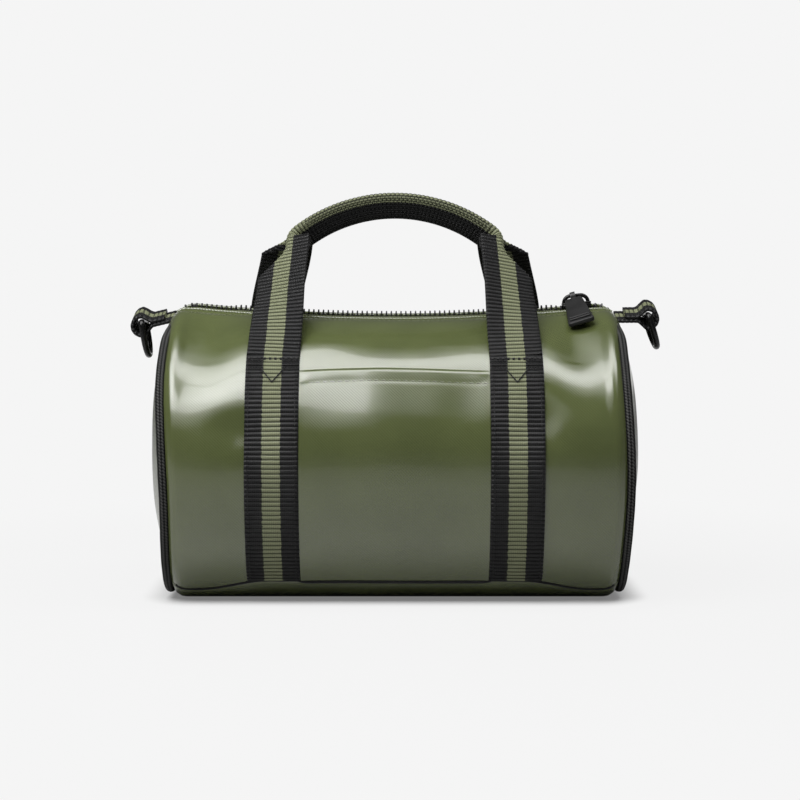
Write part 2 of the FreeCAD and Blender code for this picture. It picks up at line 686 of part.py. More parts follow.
def tangent_point(point, centre, radius, turn):
    """Where a line from point touches a circle in the XZ plane; turn picks the side."""
    away = point - centre
    angle = math.atan2(away.z, away.x) + turn * math.acos(radius / away.Length)
    return centre + Vector(math.cos(angle), 0, math.sin(angle)) * radius


def ring_tab(side):
    """Webbing doubled round a ring's bar, its root in the seam outside the piping, drawn at the right."""
    bar = ring_bar(side)
    bore = RING_WIRE_R + TAB_PLAY
    outer = bore + TAB_T
    root_x = PIPING_X + PIPING_R + PIPING_SEAT
    root_z = SIDE_TOP_Z - PIPING_INSET
    high = Vector(root_x, 0, root_z + TAB_T)
    low = Vector(root_x, 0, root_z - TAB_T)
    over = tangent_point(high, bar, outer, -1)
    under = tangent_point(low, bar, outer, 1)
    tip = bar + Vector(outer, 0, 0)
    edges = [
        segment(high, over),
        Part.Arc(over, tip, under).toShape(),
        segment(under, low),
        segment(low, high),
    ]
    width = RING_INNER_W - TAB_SIDE_PLAY
    tab = closed_solid(edges, Vector(0, width, 0))
    tab.translate(Vector(0, -width / 2, 0))
    cut_end = Part.makeBox(
        2 * TAB_TAIL_SETBACK, 2 * width, 2 * TAB_T,
        Vector(root_x - TAB_TAIL_SETBACK, -width, root_z),
    )
    eye = Part.makeCylinder(bore, 2 * width, bar - Vector(0, width, 0), Vector(0, 1, 0))
    return tab.cut(cut_end).cut(eye)


def section(centre, across, through):
    """Closed four-cornered section of webbing."""
    corners = [centre + across + through, centre + across - through]
    corners += [centre - across - through, centre - across + through]
    return Part.makePolygon([*corners, corners[0]])


def front_handle():
    """Webbing loop: two flat legs that rise from the stitching, folded double along the grip."""
    rise = Vector(0, math.cos(LEG_RISE_ANGLE), math.sin(LEG_RISE_ANGLE))
    outward = Vector(0, -math.sin(LEG_RISE_ANGLE), math.cos(LEG_RISE_ANGLE))
    foot = Vector(0, FOLD_Y, FOLD_Z) + outward * (LAYER_GAP + WEBBING_T / 2)
    grip_y = -(GRIP_GAP + GRIP_T) / 2
    middle_r = GRIP_ARCH_R - WEBBING_W / 4
    lean = math.radians(GRIP_HALF_ANGLE)
    corner_x = middle_r * math.sin(lean) + WEBBING_W / 3
    leg_length = (grip_y - foot.y) / rise.y - WEBBING_W / 2
    arch_z = foot.z + rise.z * leg_length + GRIP_STEP - middle_r * math.cos(lean)

    def leg(side, count):
        wires = []
        for reach in stations(LEG_START, leg_length, count):
            share = (reach / leg_length) ** 2
            x = STRAP_X + (corner_x - STRAP_X) * share
            centre = foot + rise * reach + Vector(side * x, 0, 0)
            across = Vector(side * WEBBING_W / 2, 0, 0)
            wires.append(section(centre, across, outward * (WEBBING_T / 2)))
        return wires

    grip = []
    for angle in stations(-lean, lean, GRIP_STATIONS):
        radial = Vector(math.sin(angle), 0, math.cos(angle))
        centre = Vector(0, grip_y, arch_z) + radial * middle_r
        grip.append(section(centre, radial * (WEBBING_W / 4), Vector(0, -GRIP_T / 2, 0)))
    wires = leg(-1, LEG_STATIONS) + grip + leg(1, LEG_STATIONS)[::-1]
    return lofted(wires, ruled=True)


def build():
    """Make every node and write it out."""
    back = Vector(0, 1, 0)
    left = Vector(1, 0, 0)

    panel = front_panel()
    save("front_panel", panel)
    save("rear_panel", mirrored(panel, back))
    save("base_panel", base_panel())
    end_panel = right_end_panel()
    save("right_end_panel", end_panel)
    save("left_end_panel", mirrored(end_panel, left))
    sleeve, cord = right_piping()
    save("right_piping", sleeve)
    save("left_piping", mirrored(sleeve, left))
    save("right_piping_cord", cord)
    save("left_piping_cord", mirrored(cord, left))

    pocket_top = math.asin((FOLD_Z - POCKET_DROP - WIDEST_Z) / SIDE_RISE)
    pocket_width = 2 * (STRAP_X - WEBBING_W / 2 - FOLD_GAP)
    save("front_pocket", sewn_strip(0, pocket_width, POCKET_T, pocket_top))
    strap = sewn_strip(STRAP_X, WEBBING_W, WEBBING_T, FOLD_ANGLE)
    save("front_right_strap", strap)
    save("front_left_strap", mirrored(strap, left))
    save("rear_right_strap", mirrored(strap, back))
    save("rear_left_strap", mirrored(mirrored(strap, back), left))

    save("lining_body", lining_body())
    lining_end = right_lining_end()
    save("lining_right_end", lining_end)
    save("lining_left_end", mirrored(lining_end, left))
    save("base_board", base_board())

    flap = mouth_strip(0, PANEL_T, -ZIP_OPENING_HALF)
    save("front_mouth_panel", flap)
    save("rear_mouth_panel", mirrored(flap, back))
    flap_lining = mouth_strip(LINING_INSET, LINING_INSET + LINING_T, -LINING_EDGE)
    save("front_mouth_lining", flap_lining)
    save("rear_mouth_lining", mirrored(flap_lining, back))

    tape = lofted(tape_wire(x, -TAPE_EDGE) for x in stations(-MOUTH_HALF, MOUTH_HALF, 7))
    save("front_zip_tape", tape)
    save("rear_zip_tape", mirrored(tape, back))
    for name, side in (("left", -1), ("right", 1)):
        tape = end_tape(side)
        save(f"{name}_zip_tape", Part.makeCompound([tape, mirrored(tape, back)]))
    split = MOUTH_HALF + FOLD_GAP / 2
    front_row, rear_row = both_rows(-split, split, lambda x: 0.0)
    save("front_zip_teeth", front_row)
    save("rear_zip_teeth", rear_row)
    save("left_zip_teeth", Part.makeCompound(both_rows(-CREST_HALF, -split, lambda x: 0.0)))
    save("right_zip_teeth", Part.makeCompound(both_rows(split, CREST_HALF, parting)))
    top_stops, bottom_stop = zip_stops()
    save("zip_top_stops", top_stops)
    save("zip_bottom_stop", bottom_stop)

    save("zip_slider", on_zip(zip_slider()))
    save("slider_bail", on_zip(slider_bail()))
    save("zip_puller", on_zip(zip_puller()))

    handle = front_handle()
    save("front_handle", handle)
    save("rear_handle", mirrored(handle, back))
    save("right_ring_tab", ring_tab("right"))
    save("left_ring_tab", mirrored(ring_tab("left"), left))
    for side in ("left", "right"):
        save(f"{side}_d_ring", d_ring(side))


os.makedirs("parts", exist_ok=True)
build()
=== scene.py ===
"""Small barrel bag of coated canvas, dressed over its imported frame.

Metres throughout. The origin is under the middle of the base, +X runs along the barrel,
-Y is the front and +Z is up.
"""

import logging
import math
from bisect import bisect_left
from collections.abc import Callable, Iterable
from dataclasses import dataclass, field
from enum import Enum
from functools import cached_property

import bmesh
import bpy
from mathutils import Matrix, Vector, noise


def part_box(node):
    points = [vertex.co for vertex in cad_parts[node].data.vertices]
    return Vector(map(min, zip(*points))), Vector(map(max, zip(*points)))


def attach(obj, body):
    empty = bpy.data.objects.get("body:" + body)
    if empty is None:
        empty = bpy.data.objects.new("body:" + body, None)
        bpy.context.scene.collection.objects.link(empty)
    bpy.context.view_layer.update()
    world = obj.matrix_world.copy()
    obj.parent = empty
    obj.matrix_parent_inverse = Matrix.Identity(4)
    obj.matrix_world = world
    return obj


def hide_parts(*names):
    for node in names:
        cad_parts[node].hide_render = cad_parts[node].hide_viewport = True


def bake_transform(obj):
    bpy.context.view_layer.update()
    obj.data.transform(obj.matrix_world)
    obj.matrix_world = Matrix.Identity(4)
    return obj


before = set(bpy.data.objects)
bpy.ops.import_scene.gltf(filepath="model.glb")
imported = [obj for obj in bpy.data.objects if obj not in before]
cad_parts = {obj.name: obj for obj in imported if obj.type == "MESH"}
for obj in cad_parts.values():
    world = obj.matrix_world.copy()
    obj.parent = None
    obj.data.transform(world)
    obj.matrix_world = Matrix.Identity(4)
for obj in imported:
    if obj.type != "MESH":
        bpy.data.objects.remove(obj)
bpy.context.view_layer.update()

LOG = logging.getLogger("barrel_bag")

MM = 0.001
MERGE = 1e-6
SHARP = math.radians(50.0)
UV_NAME = "cloth"
BLACK = (0.0, 0.0, 0.0)
X_AXIS = Vector((1.0, 0.0, 0.0))
Y_AXIS = Vector((0.0, 1.0, 0.0))
Z_AXIS = Vector((0.0, 0.0, 1.0))

Pair = tuple[float, float]
Triple = tuple[float, float, float]
Colour = Triple
Ray = tuple[Vector, Vector]
Mesh = bmesh.types.BMesh
Object = bpy.types.Object
Material = bpy.types.Material
Node = bpy.types.Node
Socket = bpy.types.NodeSocket
Tree = bpy.types.NodeTree


class Named(Enum):
    """Option whose name the bodies and nodes spell in lower case."""

    @property
    def word(self) -> str:
        """Lower-case name."""
        return self.name.lower()


class Side(Named):
    """Long side of the barrel; the value is its sign along Y."""

    FRONT = -1
    REAR = 1


class End(Named):
    """End of the barrel; the value is its sign along X."""

    LEFT = -1
    RIGHT = 1


def smooth_step(low: float, high: float, value: float) -> float:
    """Ease from 0 at low to 1 at high, which may lie below low."""
    share = min(1.0, max(0.0, (value - low) / (high - low)))
    return share * share * (3 - 2 * share)


def mix(start: float, end: float, share: float) -> float:
    """Value a share of the way from start to end."""
    return start + (end - start) * share


def swell(value: float, shape: Triple) -> float:
    """Soft peak, its shape given as height, centre and width."""
    height, centre, width = shape
    return height * math.exp(-(((value - centre) / width) ** 2))


def half_way(share: float, total: float) -> tuple[float, bool]:
    """Length along one half of a mirrored path, and whether the share lies on the other."""
    reach = share * total
    mirror = reach > total / 2
    return (total - reach if mirror else reach), mirror


# Mesh work


def new_mesh() -> Mesh:
    """Empty bmesh with the pattern coordinates that every piece has."""
    mesh = bmesh.new()
    mesh.loops.layers.uv.new(UV_NAME)
    return mesh


def face_out(mesh: Mesh, toward: Vector | None = None) -> None:
    """Turn every face outwards.

    Args:
        mesh: mesh to turn.
        toward: where an open sheet has to face on the whole.
    """
    bmesh.ops.recalc_face_normals(mesh, faces=mesh.faces[:])
    if toward is not None and sum(face.normal.dot(toward) for face in mesh.faces) < 0:
        bmesh.ops.reverse_faces(mesh, faces=mesh.faces[:])


def thicken(mesh: Mesh, thickness: float) -> None:
    """Give a sheet its thickness, inwards from its faces."""
    bmesh.ops.solidify(mesh, geom=mesh.faces[:], thickness=thickness)


def smooth(mesh: Mesh) -> None:
    """Shade every face smooth."""
    for face in mesh.faces:
        face.smooth = True


def bevel(
    mesh: Mesh, geom: list, offset: float, segments: int, affect: str = "EDGES", clamp: bool = False
) -> None:
    """Round edges or corners.

    Args:
        mesh: mesh to work on.
        geom: its edges or corners.
        offset: width of the rounding.
        segments: faces across it.
        affect: EDGES or VERTICES.
        clamp: stop where neighbours would overlap.
    """
    bmesh.ops.bevel(
        mesh, geom=geom, offset=offset, offset_type="OFFSET", affect=affect,
        segments=segments, profile=0.5, material=-1, clamp_overlap=clamp,
    )


def level_edges(mesh: Mesh, level: bool) -> list[bmesh.types.BMEdge]:
    """Edges that run level, or those that don't."""
    return [e for e in mesh.edges if (abs(e.verts[0].co.z - e.verts[1].co.z) < MERGE) == level]


def round_off(mesh: Mesh, offset: float, segments: int) -> None:
    """Round every edge of moulded blocks."""
    bevel(mesh, mesh.edges[:], offset, segments, clamp=True)
    smooth(mesh)
    face_out(mesh)


def add_block(mesh: Mesh, centre: Iterable[float], size: Iterable[float]) -> None:
    """Add an upright block."""
    place = Matrix.Translation(centre) @ Matrix.Diagonal((*size, 1.0))
    bmesh.ops.create_cube(mesh, size=1.0, matrix=place)


def move(mesh: Mesh, matrix: Matrix) -> None:
    """Place every point of a mesh."""
    bmesh.ops.transform(mesh, matrix=matrix, verts=mesh.verts[:])


def absorb(mesh: Mesh, other: Mesh) -> None:
    """Add another bmesh's faces to this one and free it."""
    carrier = bpy.data.meshes.new("carrier")
    other.to_mesh(carrier)
    other.free()
    mesh.from_mesh(carrier)
    bpy.data.meshes.remove(carrier)


def mapped_grid(
    columns: int,
    rows: int,
    place: Callable[[float, float], Vector],
    uv: Callable[[float, float], Pair],
    wrap: bool = False,
) -> Mesh:
    """Carry a flat grid of faces onto a surface.

    Args:
        columns: faces across.
        rows: faces along.
        place: point of the surface for two shares from 0 to 1.
        uv: pattern coordinates, in metres, for the same shares.
        wrap: merge the points that meet, for tubes and domes.

    Returns:
        The new bmesh, its points in the order of the grid.
    """
    mesh = new_mesh()
    layer = mesh.loops.layers.uv[UV_NAME]
    bmesh.ops.create_grid(mesh, x_segments=columns, y_segments=rows, size=0.5)
    smooth(mesh)
    for face in mesh.faces:
        for loop in face.loops:
            loop[layer].uv = uv(loop.vert.co.x + 0.5, loop.vert.co.y + 0.5)
    for vert in mesh.verts:
        vert.co = place(vert.co.x + 0.5, vert.co.y + 0.5)
    if wrap:
        bmesh.ops.remove_doubles(mesh, verts=mesh.verts[:], dist=MERGE)
    return mesh


def close_ends(mesh: Mesh) -> None:
    """Fill the open ends of a tube and turn every face outwards."""
    rims = [edge for edge in mesh.edges if edge.is_boundary]
    if rims:
        bmesh.ops.holes_fill(mesh, edges=rims, sides=0)
    face_out(mesh)


def piece(mesh: Mesh, name: str, finish: Material) -> Object:
    """Make a linked object of a finished bmesh, at the origin.

    Args:
        mesh: the bmesh, freed here.
        name: name of the object and its mesh.
        finish: its material.

    Returns:
        The object.
    """
    data = bpy.data.meshes.new(name)
    mesh.to_mesh(data)
    mesh.free()
    data.set_sharp_from_angle(angle=SHARP)
    data.materials.append(finish)
    made = bpy.data.objects.new(name, data)
    bpy.context.scene.collection.objects.link(made)
    LOG.info("%s: %d faces", name, len(data.polygons))
    return made


def dress(made: Object, body: str, slot: str, *nodes: str) -> None:
    """Let a piece ride on a body.

    Args:
        made: the piece.
        body: what it moves with.
        slot: its material slot; not used.
        nodes: CAD nodes that it stands for.
    """
    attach(made, body)
    if nodes:
        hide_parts(*nodes)


def tube(
    path: Callable[[float], Vector],
    plane: Vector,
    radius: float,
    along: int,
    around: int,
    closed: bool = False,
) -> Mesh:
    """Round wire along a path that lies in one plane.

    Args:
        path: point for a share from 0 to 1.
        plane: normal of the plane.
        radius: wire radius.
        along: faces along the path.
        around: faces round the wire.
        closed: whether the path ends where it starts.

    Returns:
        Closed bmesh.
    """
    step = 1e-4

    def held(share: float) -> float:
        return share % 1.0 if closed else min(1.0, max(0.0, share))

    centres: list[Ray] = []
    for i in range(along + 1):
        share = i / along
        way = path(held(share + step)) - path(held(share - step))
        centres.append((path(held(share)), plane.cross(way).normalized()))

    def place(p: float, q: float) -> Vector:
        centre, outward = centres[round(q * along)]
        angle = 2 * math.pi * p
        return centre + (outward * math.cos(angle) + plane * math.sin(angle)) * radius

    length = sum((centres[i + 1][0] - centres[i][0]).length for i in range(along))
    mesh = mapped_grid(around, along, place, lambda p, q: (p * 2 * math.pi * radius, q * length), wrap=True)
    close_ends(mesh)
    return mesh


def frame_matrix(centre: Vector, along: Vector, up: Vector, size: Vector) -> Matrix:
    """Placement of a unit shape.

    Args:
        centre: where it sits.
        along: direction of its own X.
        up: rough direction of its own Z.
        size: scale along its own axes.

    Returns:
        Matrix for the bmesh operators.
    """
    x_axis = along.normalized()
    y_axis = up.cross(x_axis).normalized()
    turn = Matrix((x_axis, y_axis, x_axis.cross(y_axis))).transposed().to_4x4()
    return Matrix.Translation(centre) @ turn @ Matrix.Diagonal((*size, 1.0))


# Shader work


class Board:
    """Adds and wires the nodes of one tree."""

    def __init__(self, tree: Tree) -> None:
        """Work on the tree of a material, world or group."""
        self.tree = tree

    def add(self, kind: str, **settings: object) -> Node:
        """Add a node of a kind, with its properties.

        Args:
            kind: node type.
            settings: properties of the node.

        Returns:
            The node.
        """
        node = self.tree.nodes.new(kind)
        for name, value in settings.items():
            setattr(node, name, value)
        return node

    def feed(self, target: Socket, source: object) -> None:
        """Link a socket, or set a plain value, into another socket."""
        if isinstance(source, Socket):
            self.tree.links.new(source, target)
        else:
            target.default_value = (*source, 1.0) if target.type == "RGBA" else source

    def fill(self, node: Node, **entries: object) -> Node:
        """Fill a node's inputs.

        Args:
            node: the node.
            entries: sockets or values by input name, spaces written as underscores.

        Returns:
            The same node.
        """
        for name, value in entries.items():
            self.feed(node.inputs[name.replace("_", " ")], value)
        return node

    def use(self, group: Tree, **entries: object) -> Node:
        """Place a node group and fill its inputs, as fill does."""
        return self.fill(self.add("ShaderNodeGroup", node_tree=group), **entries)

    def math(self, operation: str, *values: object, clamp: bool = False) -> Socket:
        """Do one sum.

        Args:
            operation: Math node operation.
            values: sockets or numbers, in order.
            clamp: keep the result from 0 to 1.

        Returns:
            The result socket.
        """
        node = self.add("ShaderNodeMath", operation=operation, use_clamp=clamp)
        for socket, value in zip(node.inputs, values):
            self.feed(socket, value)
        return node.outputs[0]

    def wave(self, turns: Socket) -> Socket:
        """Row of round ridges, one to each turn."""
        return self.math("ABSOLUTE", self.math("SINE", self.math("MULTIPLY", turns, math.pi)))

    def ramp(self, value: Socket, low: float, high: float, start: object, end: object) -> Socket:
        """Ease a value from one range into another.

        Args:
            value: socket to read.
            low: value that gives start.
            high: value that gives end.
            start: result at low, a number or socket.
            end: result at high.

        Returns:
            The result socket.
        """
        node = self.add("ShaderNodeMapRange", interpolation_type="SMOOTHSTEP")
        for socket, entry in zip(node.inputs, (value, low, high, start, end)):
            self.feed(socket, entry)
        return node.outputs[0]

    def blend(self, share: object, first: object, second: object) -> Socket:
        """Mix two colours.

        Args:
            share: factor socket or number.
            first: colour socket or colour at 0.
            second: colour socket or colour at 1.

        Returns:
            The colour socket.
        """
        node = self.add("ShaderNodeMix", data_type="RGBA")
        self.feed(node.inputs["Factor"], share)
        for name, colour in (("A", first), ("B", second)):
            self.feed(next(s for s in node.inputs if s.name == name and s.type == "RGBA"), colour)
        return next(s for s in node.outputs if s.type == "RGBA")

    def split(self, vector: Socket) -> tuple[Socket, Socket, Socket]:
        """The three parts of a vector."""
        node = self.add("ShaderNodeSeparateXYZ")
        self.feed(node.inputs[0], vector)
        return tuple(node.outputs)

    def uv(self) -> Socket:
        """The piece's own pattern coordinates, in metres."""
        return self.add("ShaderNodeUVMap", uv_map=UV_NAME).outputs[0]

    def place(self) -> Socket:
        """Object coordinates."""
        return self.add("ShaderNodeTexCoord").outputs["Object"]

    def bump(self, height: Socket, strength: float, depth: float) -> Socket:
        """Normal from a height.

        Args:
            height: height socket from 0 to 1.
            strength: share of the effect.
            depth: real height in metres.

        Returns:
            The normal socket.
        """
        node = self.add("ShaderNodeBump")
        return self.fill(node, Strength=strength, Distance=depth, Height=height).outputs[0]


class Groups:
    """Shader node groups that several finishes share, each built once."""

    def __init__(self) -> None:
        """Build every group."""
        self.weave = self._weave()
        self.mottle = self._mottle()
        self.twist = self._twist()

    @staticmethod
    def _new(name: str, numbers: Iterable[str], outputs: Iterable[str]) -> tuple[Board, Node, Node]:
        """Start a group that reads a vector.

        Args:
            name: group name.
            numbers: names of its other inputs.
            outputs: names of its outputs.

        Returns:
            Its board, its input node and its output node.
        """
        tree = bpy.data.node_groups.new(name, "ShaderNodeTree")
        tree.interface.new_socket(name="Vector", in_out="INPUT", socket_type="NodeSocketVector")
        for way, labels in (("INPUT", numbers), ("OUTPUT", outputs)):
            for label in labels:
                tree.interface.new_socket(name=label, in_out=way, socket_type="NodeSocketFloat")
        board = Board(tree)
        return board, board.add("NodeGroupInput"), board.add("NodeGroupOutput")

    def _weave(self) -> Tree:
        """Plain weave: yarns over and under each other, from coordinates in metres."""
        board, given, result = self._new("plain_weave", ("Pitch",), ("Height", "Gap"))
        turns = board.math("DIVIDE", math.pi, given.outputs["Pitch"])
        angles = [board.math("MULTIPLY", part, turns) for part in board.split(given.outputs["Vector"])[:2]]
        over = board.math("MULTIPLY", *(board.math("COSINE", angle) for angle in angles))
        between = (board.math("ABSOLUTE", board.math("SINE", angle)) for angle in angles)
        height = board.math("MULTIPLY_ADD", over, 0.5, 0.5)
        board.fill(result, Height=height, Gap=board.math("MULTIPLY", *between))
        return board.tree

    def _mottle(self) -> Tree:
        """Soft uneven patches, as handling and dust leave them."""
        board, given, result = self._new("soft_mottle", ("Scale", "Low", "High"), ("Value",))
        cloud = board.add("ShaderNodeTexNoise")
        board.fill(cloud, Vector=given.outputs["Vector"], Scale=given.outputs["Scale"], Detail=4.0)
        spread = board.ramp(cloud.outputs[0], 0.3, 0.7, given.outputs["Low"], given.outputs["High"])
        board.fill(result, Value=spread)
        return board.tree

    def _twist(self) -> Tree:
        """Slanting twisted yarns side by side, from coordinates in metres."""
        board, given, result = self._new("twisted_yarn", ("Yarn", "Ply", "Slant"), ("Height",))
        u, v, _ = board.split(given.outputs["Vector"])
        yarn = board.math("DIVIDE", u, given.outputs["Yarn"])
        lean = board.math("MULTIPLY", yarn, given.outputs["Slant"])
        ply = board.math("ADD", board.math("DIVIDE", v, given.outputs["Ply"]), lean)
        roll = board.math("MULTIPLY", board.wave(yarn), 0.55)
        board.fill(result, Height=board.math("MULTIPLY_ADD", board.wave(ply), 0.45, roll))
        return board.tree


@dataclass(frozen=True)
class Finish:
    """A surface finish; each kind wires its own nodes."""

    name: str
    colour: Colour
    roughness: float

    def start(self) -> tuple[Material, Board, Node]:
        """New material, its board and its surface shader."""
        material = bpy.data.materials.new(self.name)
        material.use_nodes = True
        return material, Board(material.node_tree), material.node_tree.nodes["Principled BSDF"]

    def tinted(self, share: float) -> Colour:
        """The colour, lighter or darker by a share."""
        return tuple(share * part for part in self.colour)

    def worn(self, board: Board, groups: Groups, scale: float, spread: float) -> Socket:
        """Roughness that differs in soft patches.

        Args:
            board: the material's board.
            groups: the shared node groups.
            scale: patches to the metre.
            spread: how far it strays either way.

        Returns:
            The roughness socket.
        """
        low, high = self.roughness - spread, self.roughness + spread
        return board.use(groups.mottle, Vector=board.place(), Scale=scale, Low=low, High=high).outputs[0]

    def shade(self, groups: Groups) -> Material:
        """Build the material from the shared node groups."""
        raise NotImplementedError


@dataclass(frozen=True)
class CoatedCanvas(Finish):
    """Plain-woven canvas under a glossy coating."""

    # Darker olive: uneven tone in patches, and painted shade in the weave's gaps.
    shade_colour: Colour = (0.040, 0.050, 0.016)
    yarn: float = 0.72 * MM
    weave_depth: float = 0.060 * MM
    gloss_spread: Pair = (0.07, 0.12)
    gap_roughness: float = 0.06
    patch_share: float = 0.35
    gap_shade_share: float = 0.22
    ripple_share: float = 0.35
    index: float = 1.6
    coat: float = 0.35
    coat_roughness: float = 0.05

    def shade(self, groups: Groups) -> Material:
        """Olive with uneven gloss and uneven tone, the weave showing through the coating, with painted
        shade in the gaps between its yarns.
        """
        material, board, surface = self.start()
        place = board.place()

        def mottle(scale: float, low: float, high: float) -> Socket:
            return board.use(groups.mottle, Vector=place, Scale=scale, Low=low, High=high).outputs[0]

        weave = board.use(groups.weave, Vector=board.uv(), Pitch=self.yarn)
        patches = board.math("MULTIPLY", mottle(38.0, 0.0, 1.0), self.patch_share)
        tint = board.blend(patches, self.colour, self.shade_colour)
        # Painted shade: the gaps between the yarns are darkened in the colour.
        gap_shade = board.math("MULTIPLY", weave.outputs["Gap"], self.gap_shade_share)
        tint = board.blend(gap_shade, tint, self.shade_colour)
        gloss = mottle(70.0, *self.gloss_spread)
        rough = board.math("MULTIPLY_ADD", weave.outputs["Gap"], self.gap_roughness, gloss)
        ripple = mottle(220.0, 0.0, 1.0)
        height = board.math("MULTIPLY_ADD", ripple, self.ripple_share, weave.outputs["Height"])
        normal = board.bump(height, 1.0, self.weave_depth)
        board.fill(
            surface, Base_Color=tint, Roughness=rough, Normal=normal,
            IOR=self.index, Coat_Weight=self.coat, Coat_Roughness=self.coat_roughness,
        )
        return material


@dataclass(frozen=True)
class RibbedWebbing(Finish):
    """Ribbed webbing: black with a stripe down its middle."""

    stripe_colour: Colour = (0.156, 0.168, 0.096)
    stripe_half: float = 4.25 * MM
    stripe_blur: float = 0.15 * MM
    stripe_fuzz: float = 0.25 * MM
    rib: float = 2.15 * MM
    yarn: float = 0.86 * MM
    ply: float = 0.6 * MM
    column: float = 1.06 * MM
    grip: Pair = (0.0, 0.0)
    grip_ease: float = 8 * MM
    depth: float = 0.16 * MM
    specular: float = 0.24

    def grip_mask(self, board: Board, along: Socket) -> Socket:
        """1 along the grip, where the fold parts the columns of the weave.

        Args:
            board: the material's board.
            along: length along the webbing.

        Returns:
            The mask socket.
        """
        start, end = self.grip
        off = board.math("ABSOLUTE", board.math("SUBTRACT", along, (start + end) / 2))
        return board.ramp(off, (end - start) / 2, (end - start) / 2 - self.grip_ease, 0.0, 1.0)

    def shade(self, groups: Groups) -> Material:
        """Two colours by the distance from the middle line, with twisted yarns, and painted shade between
        the yarns, in the furrows between the ribs and where the grip's columns part.
        """
        material, board, surface = self.start()
        uv = board.uv()
        across, along, _ = board.split(uv)
        off = board.math("ABSOLUTE", across)
        fuzz = board.use(
            groups.mottle, Vector=board.place(), Scale=900.0, Low=-self.stripe_fuzz, High=self.stripe_fuzz
        )
        reach = board.math("ADD", off, fuzz.outputs[0])
        inner, outer = self.stripe_half - self.stripe_blur, self.stripe_half + self.stripe_blur
        edge = board.ramp(reach, inner, outer, 0.0, 1.0)
        yarns = board.use(groups.twist, Vector=uv, Yarn=self.yarn, Ply=self.ply, Slant=0.5).outputs[0]
        base = board.blend(edge, self.stripe_colour, self.colour)
        # Painted shade: darker where the yarns dip.
        base = board.blend(board.math("MULTIPLY_ADD", yarns, -0.4, 0.4), base, BLACK)
        mask = self.grip_mask(board, along)
        column = board.math("DIVIDE", off, self.column)
        odd = board.math("MODULO", board.math("FLOOR", column), 2.0)
        shift = board.math("MULTIPLY", board.math("MULTIPLY", odd, 0.5), mask)
        crest = board.wave(board.math("MULTIPLY_ADD", along, 1.0 / self.rib, shift))
        ridge = board.wave(column)
        # Painted shade in the furrows between the ribs, and between the columns along the grip.
        parted_shade = board.math("MULTIPLY", board.ramp(ridge, 0.25, 0.8, 0.95, 0.0), mask)
        furrow_shade = board.math("MAXIMUM", board.ramp(crest, 0.15, 0.7, 0.75, 0.0), parted_shade)
        worn = self.worn(board, groups, 120.0, 0.08)
        height = board.math("MULTIPLY_ADD", crest, 2.0, yarns)
        height = board.math("ADD", height, board.math("MULTIPLY", ridge, mask))
        board.fill(
            surface, Base_Color=board.blend(furrow_shade, base, BLACK),
            Roughness=board.math("MULTIPLY_ADD", furrow_shade, 0.5, worn, clamp=True),
            Normal=board.bump(height, 0.9, self.depth), Specular_IOR_Level=self.specular,
        )
        return material


@dataclass(frozen=True)
class WovenBraid(Finish):
    """Braided or woven cloth in one colour."""

    yarn: float = 0.8 * MM
    ply: float = 0.7 * MM
    slant: float = 0.8
    depth: float = 0.14 * MM
    # How much painted shade darkens the furrows between the strands.
    furrow_shade_share: float = 0.6
    specular: float = 0.3

    def shade(self, groups: Groups) -> Material:
        """Slanting strands, with painted shade in the furrows between them."""
        material, board, surface = self.start()
        twist = board.use(groups.twist, Vector=board.uv(), Yarn=self.yarn, Ply=self.ply, Slant=self.slant)
        strands = twist.outputs[0]
        # Painted shade: the furrows between the strands are darkened towards black.
        dark = board.ramp(strands, 0.45, 0.9, self.furrow_shade_share, 0.0)
        patches = board.use(groups.mottle, Vector=board.place(), Scale=90.0, Low=0.0, High=0.25)
        tint = board.blend(patches.outputs[0], self.colour, self.tinted(1.6))
        board.fill(
            surface, Base_Color=board.blend(dark, tint, BLACK),
            Roughness=self.worn(board, groups, 150.0, 0.08),
            Normal=board.bump(strands, 0.9, self.depth), Specular_IOR_Level=self.specular,
        )
        return material


@dataclass(frozen=True)
class WovenCloth(Finish):
    """Thin plain-woven cloth."""

    yarn: float = 0.4 * MM
    depth: float = 0.08 * MM

    def shade(self, groups: Groups) -> Material:
        """Matt weave with slightly uneven colour, and painted shade in the gaps between its yarns."""
        material, board, surface = self.start()
        weave = board.use(groups.weave, Vector=board.uv(), Pitch=self.yarn)
        patches = board.use(groups.mottle, Vector=board.place(), Scale=60.0, Low=0.0, High=0.3)
        dark = self.tinted(0.55)
        tint = board.blend(patches.outputs[0], self.colour, dark)
        # Painted shade: the gaps between the yarns are darkened.
        tint = board.blend(board.math("MULTIPLY", weave.outputs["Gap"], 0.5), tint, dark)
        normal = board.bump(weave.outputs["Height"], 0.7, self.depth)
        board.fill(surface, Base_Color=tint, Normal=normal, Roughness=self.roughness)
        return material


@dataclass(frozen=True)
class HardFinish(Finish):
    """Moulded plastic, rubber or coated metal with a fine grain."""

    grain_scale: float = 900.0
    grain_depth: float = 0.02 * MM
    spread: float = 0.06
    metallic: float = 0.0
    specular: float = 0.5

    def shade(self, groups: Groups) -> Material:
        """One colour, with grain and worn patches in its gloss."""
        material, board, surface = self.start()
        specks = board.use(groups.mottle, Vector=board.place(), Scale=self.grain_scale, Low=0.0, High=1.0)
        grain = specks.outputs[0]
        tint = board.blend(board.math("MULTIPLY", grain, 0.5), self.colour, self.tinted(1.35))
        board.fill(
            surface, Base_Color=tint, Roughness=self.worn(board, groups, 160.0, self.spread),
            Normal=board.bump(grain, 0.5, self.grain_depth), Metallic=self.metallic,
            Specular_IOR_Level=self.specular,
        )
        return material


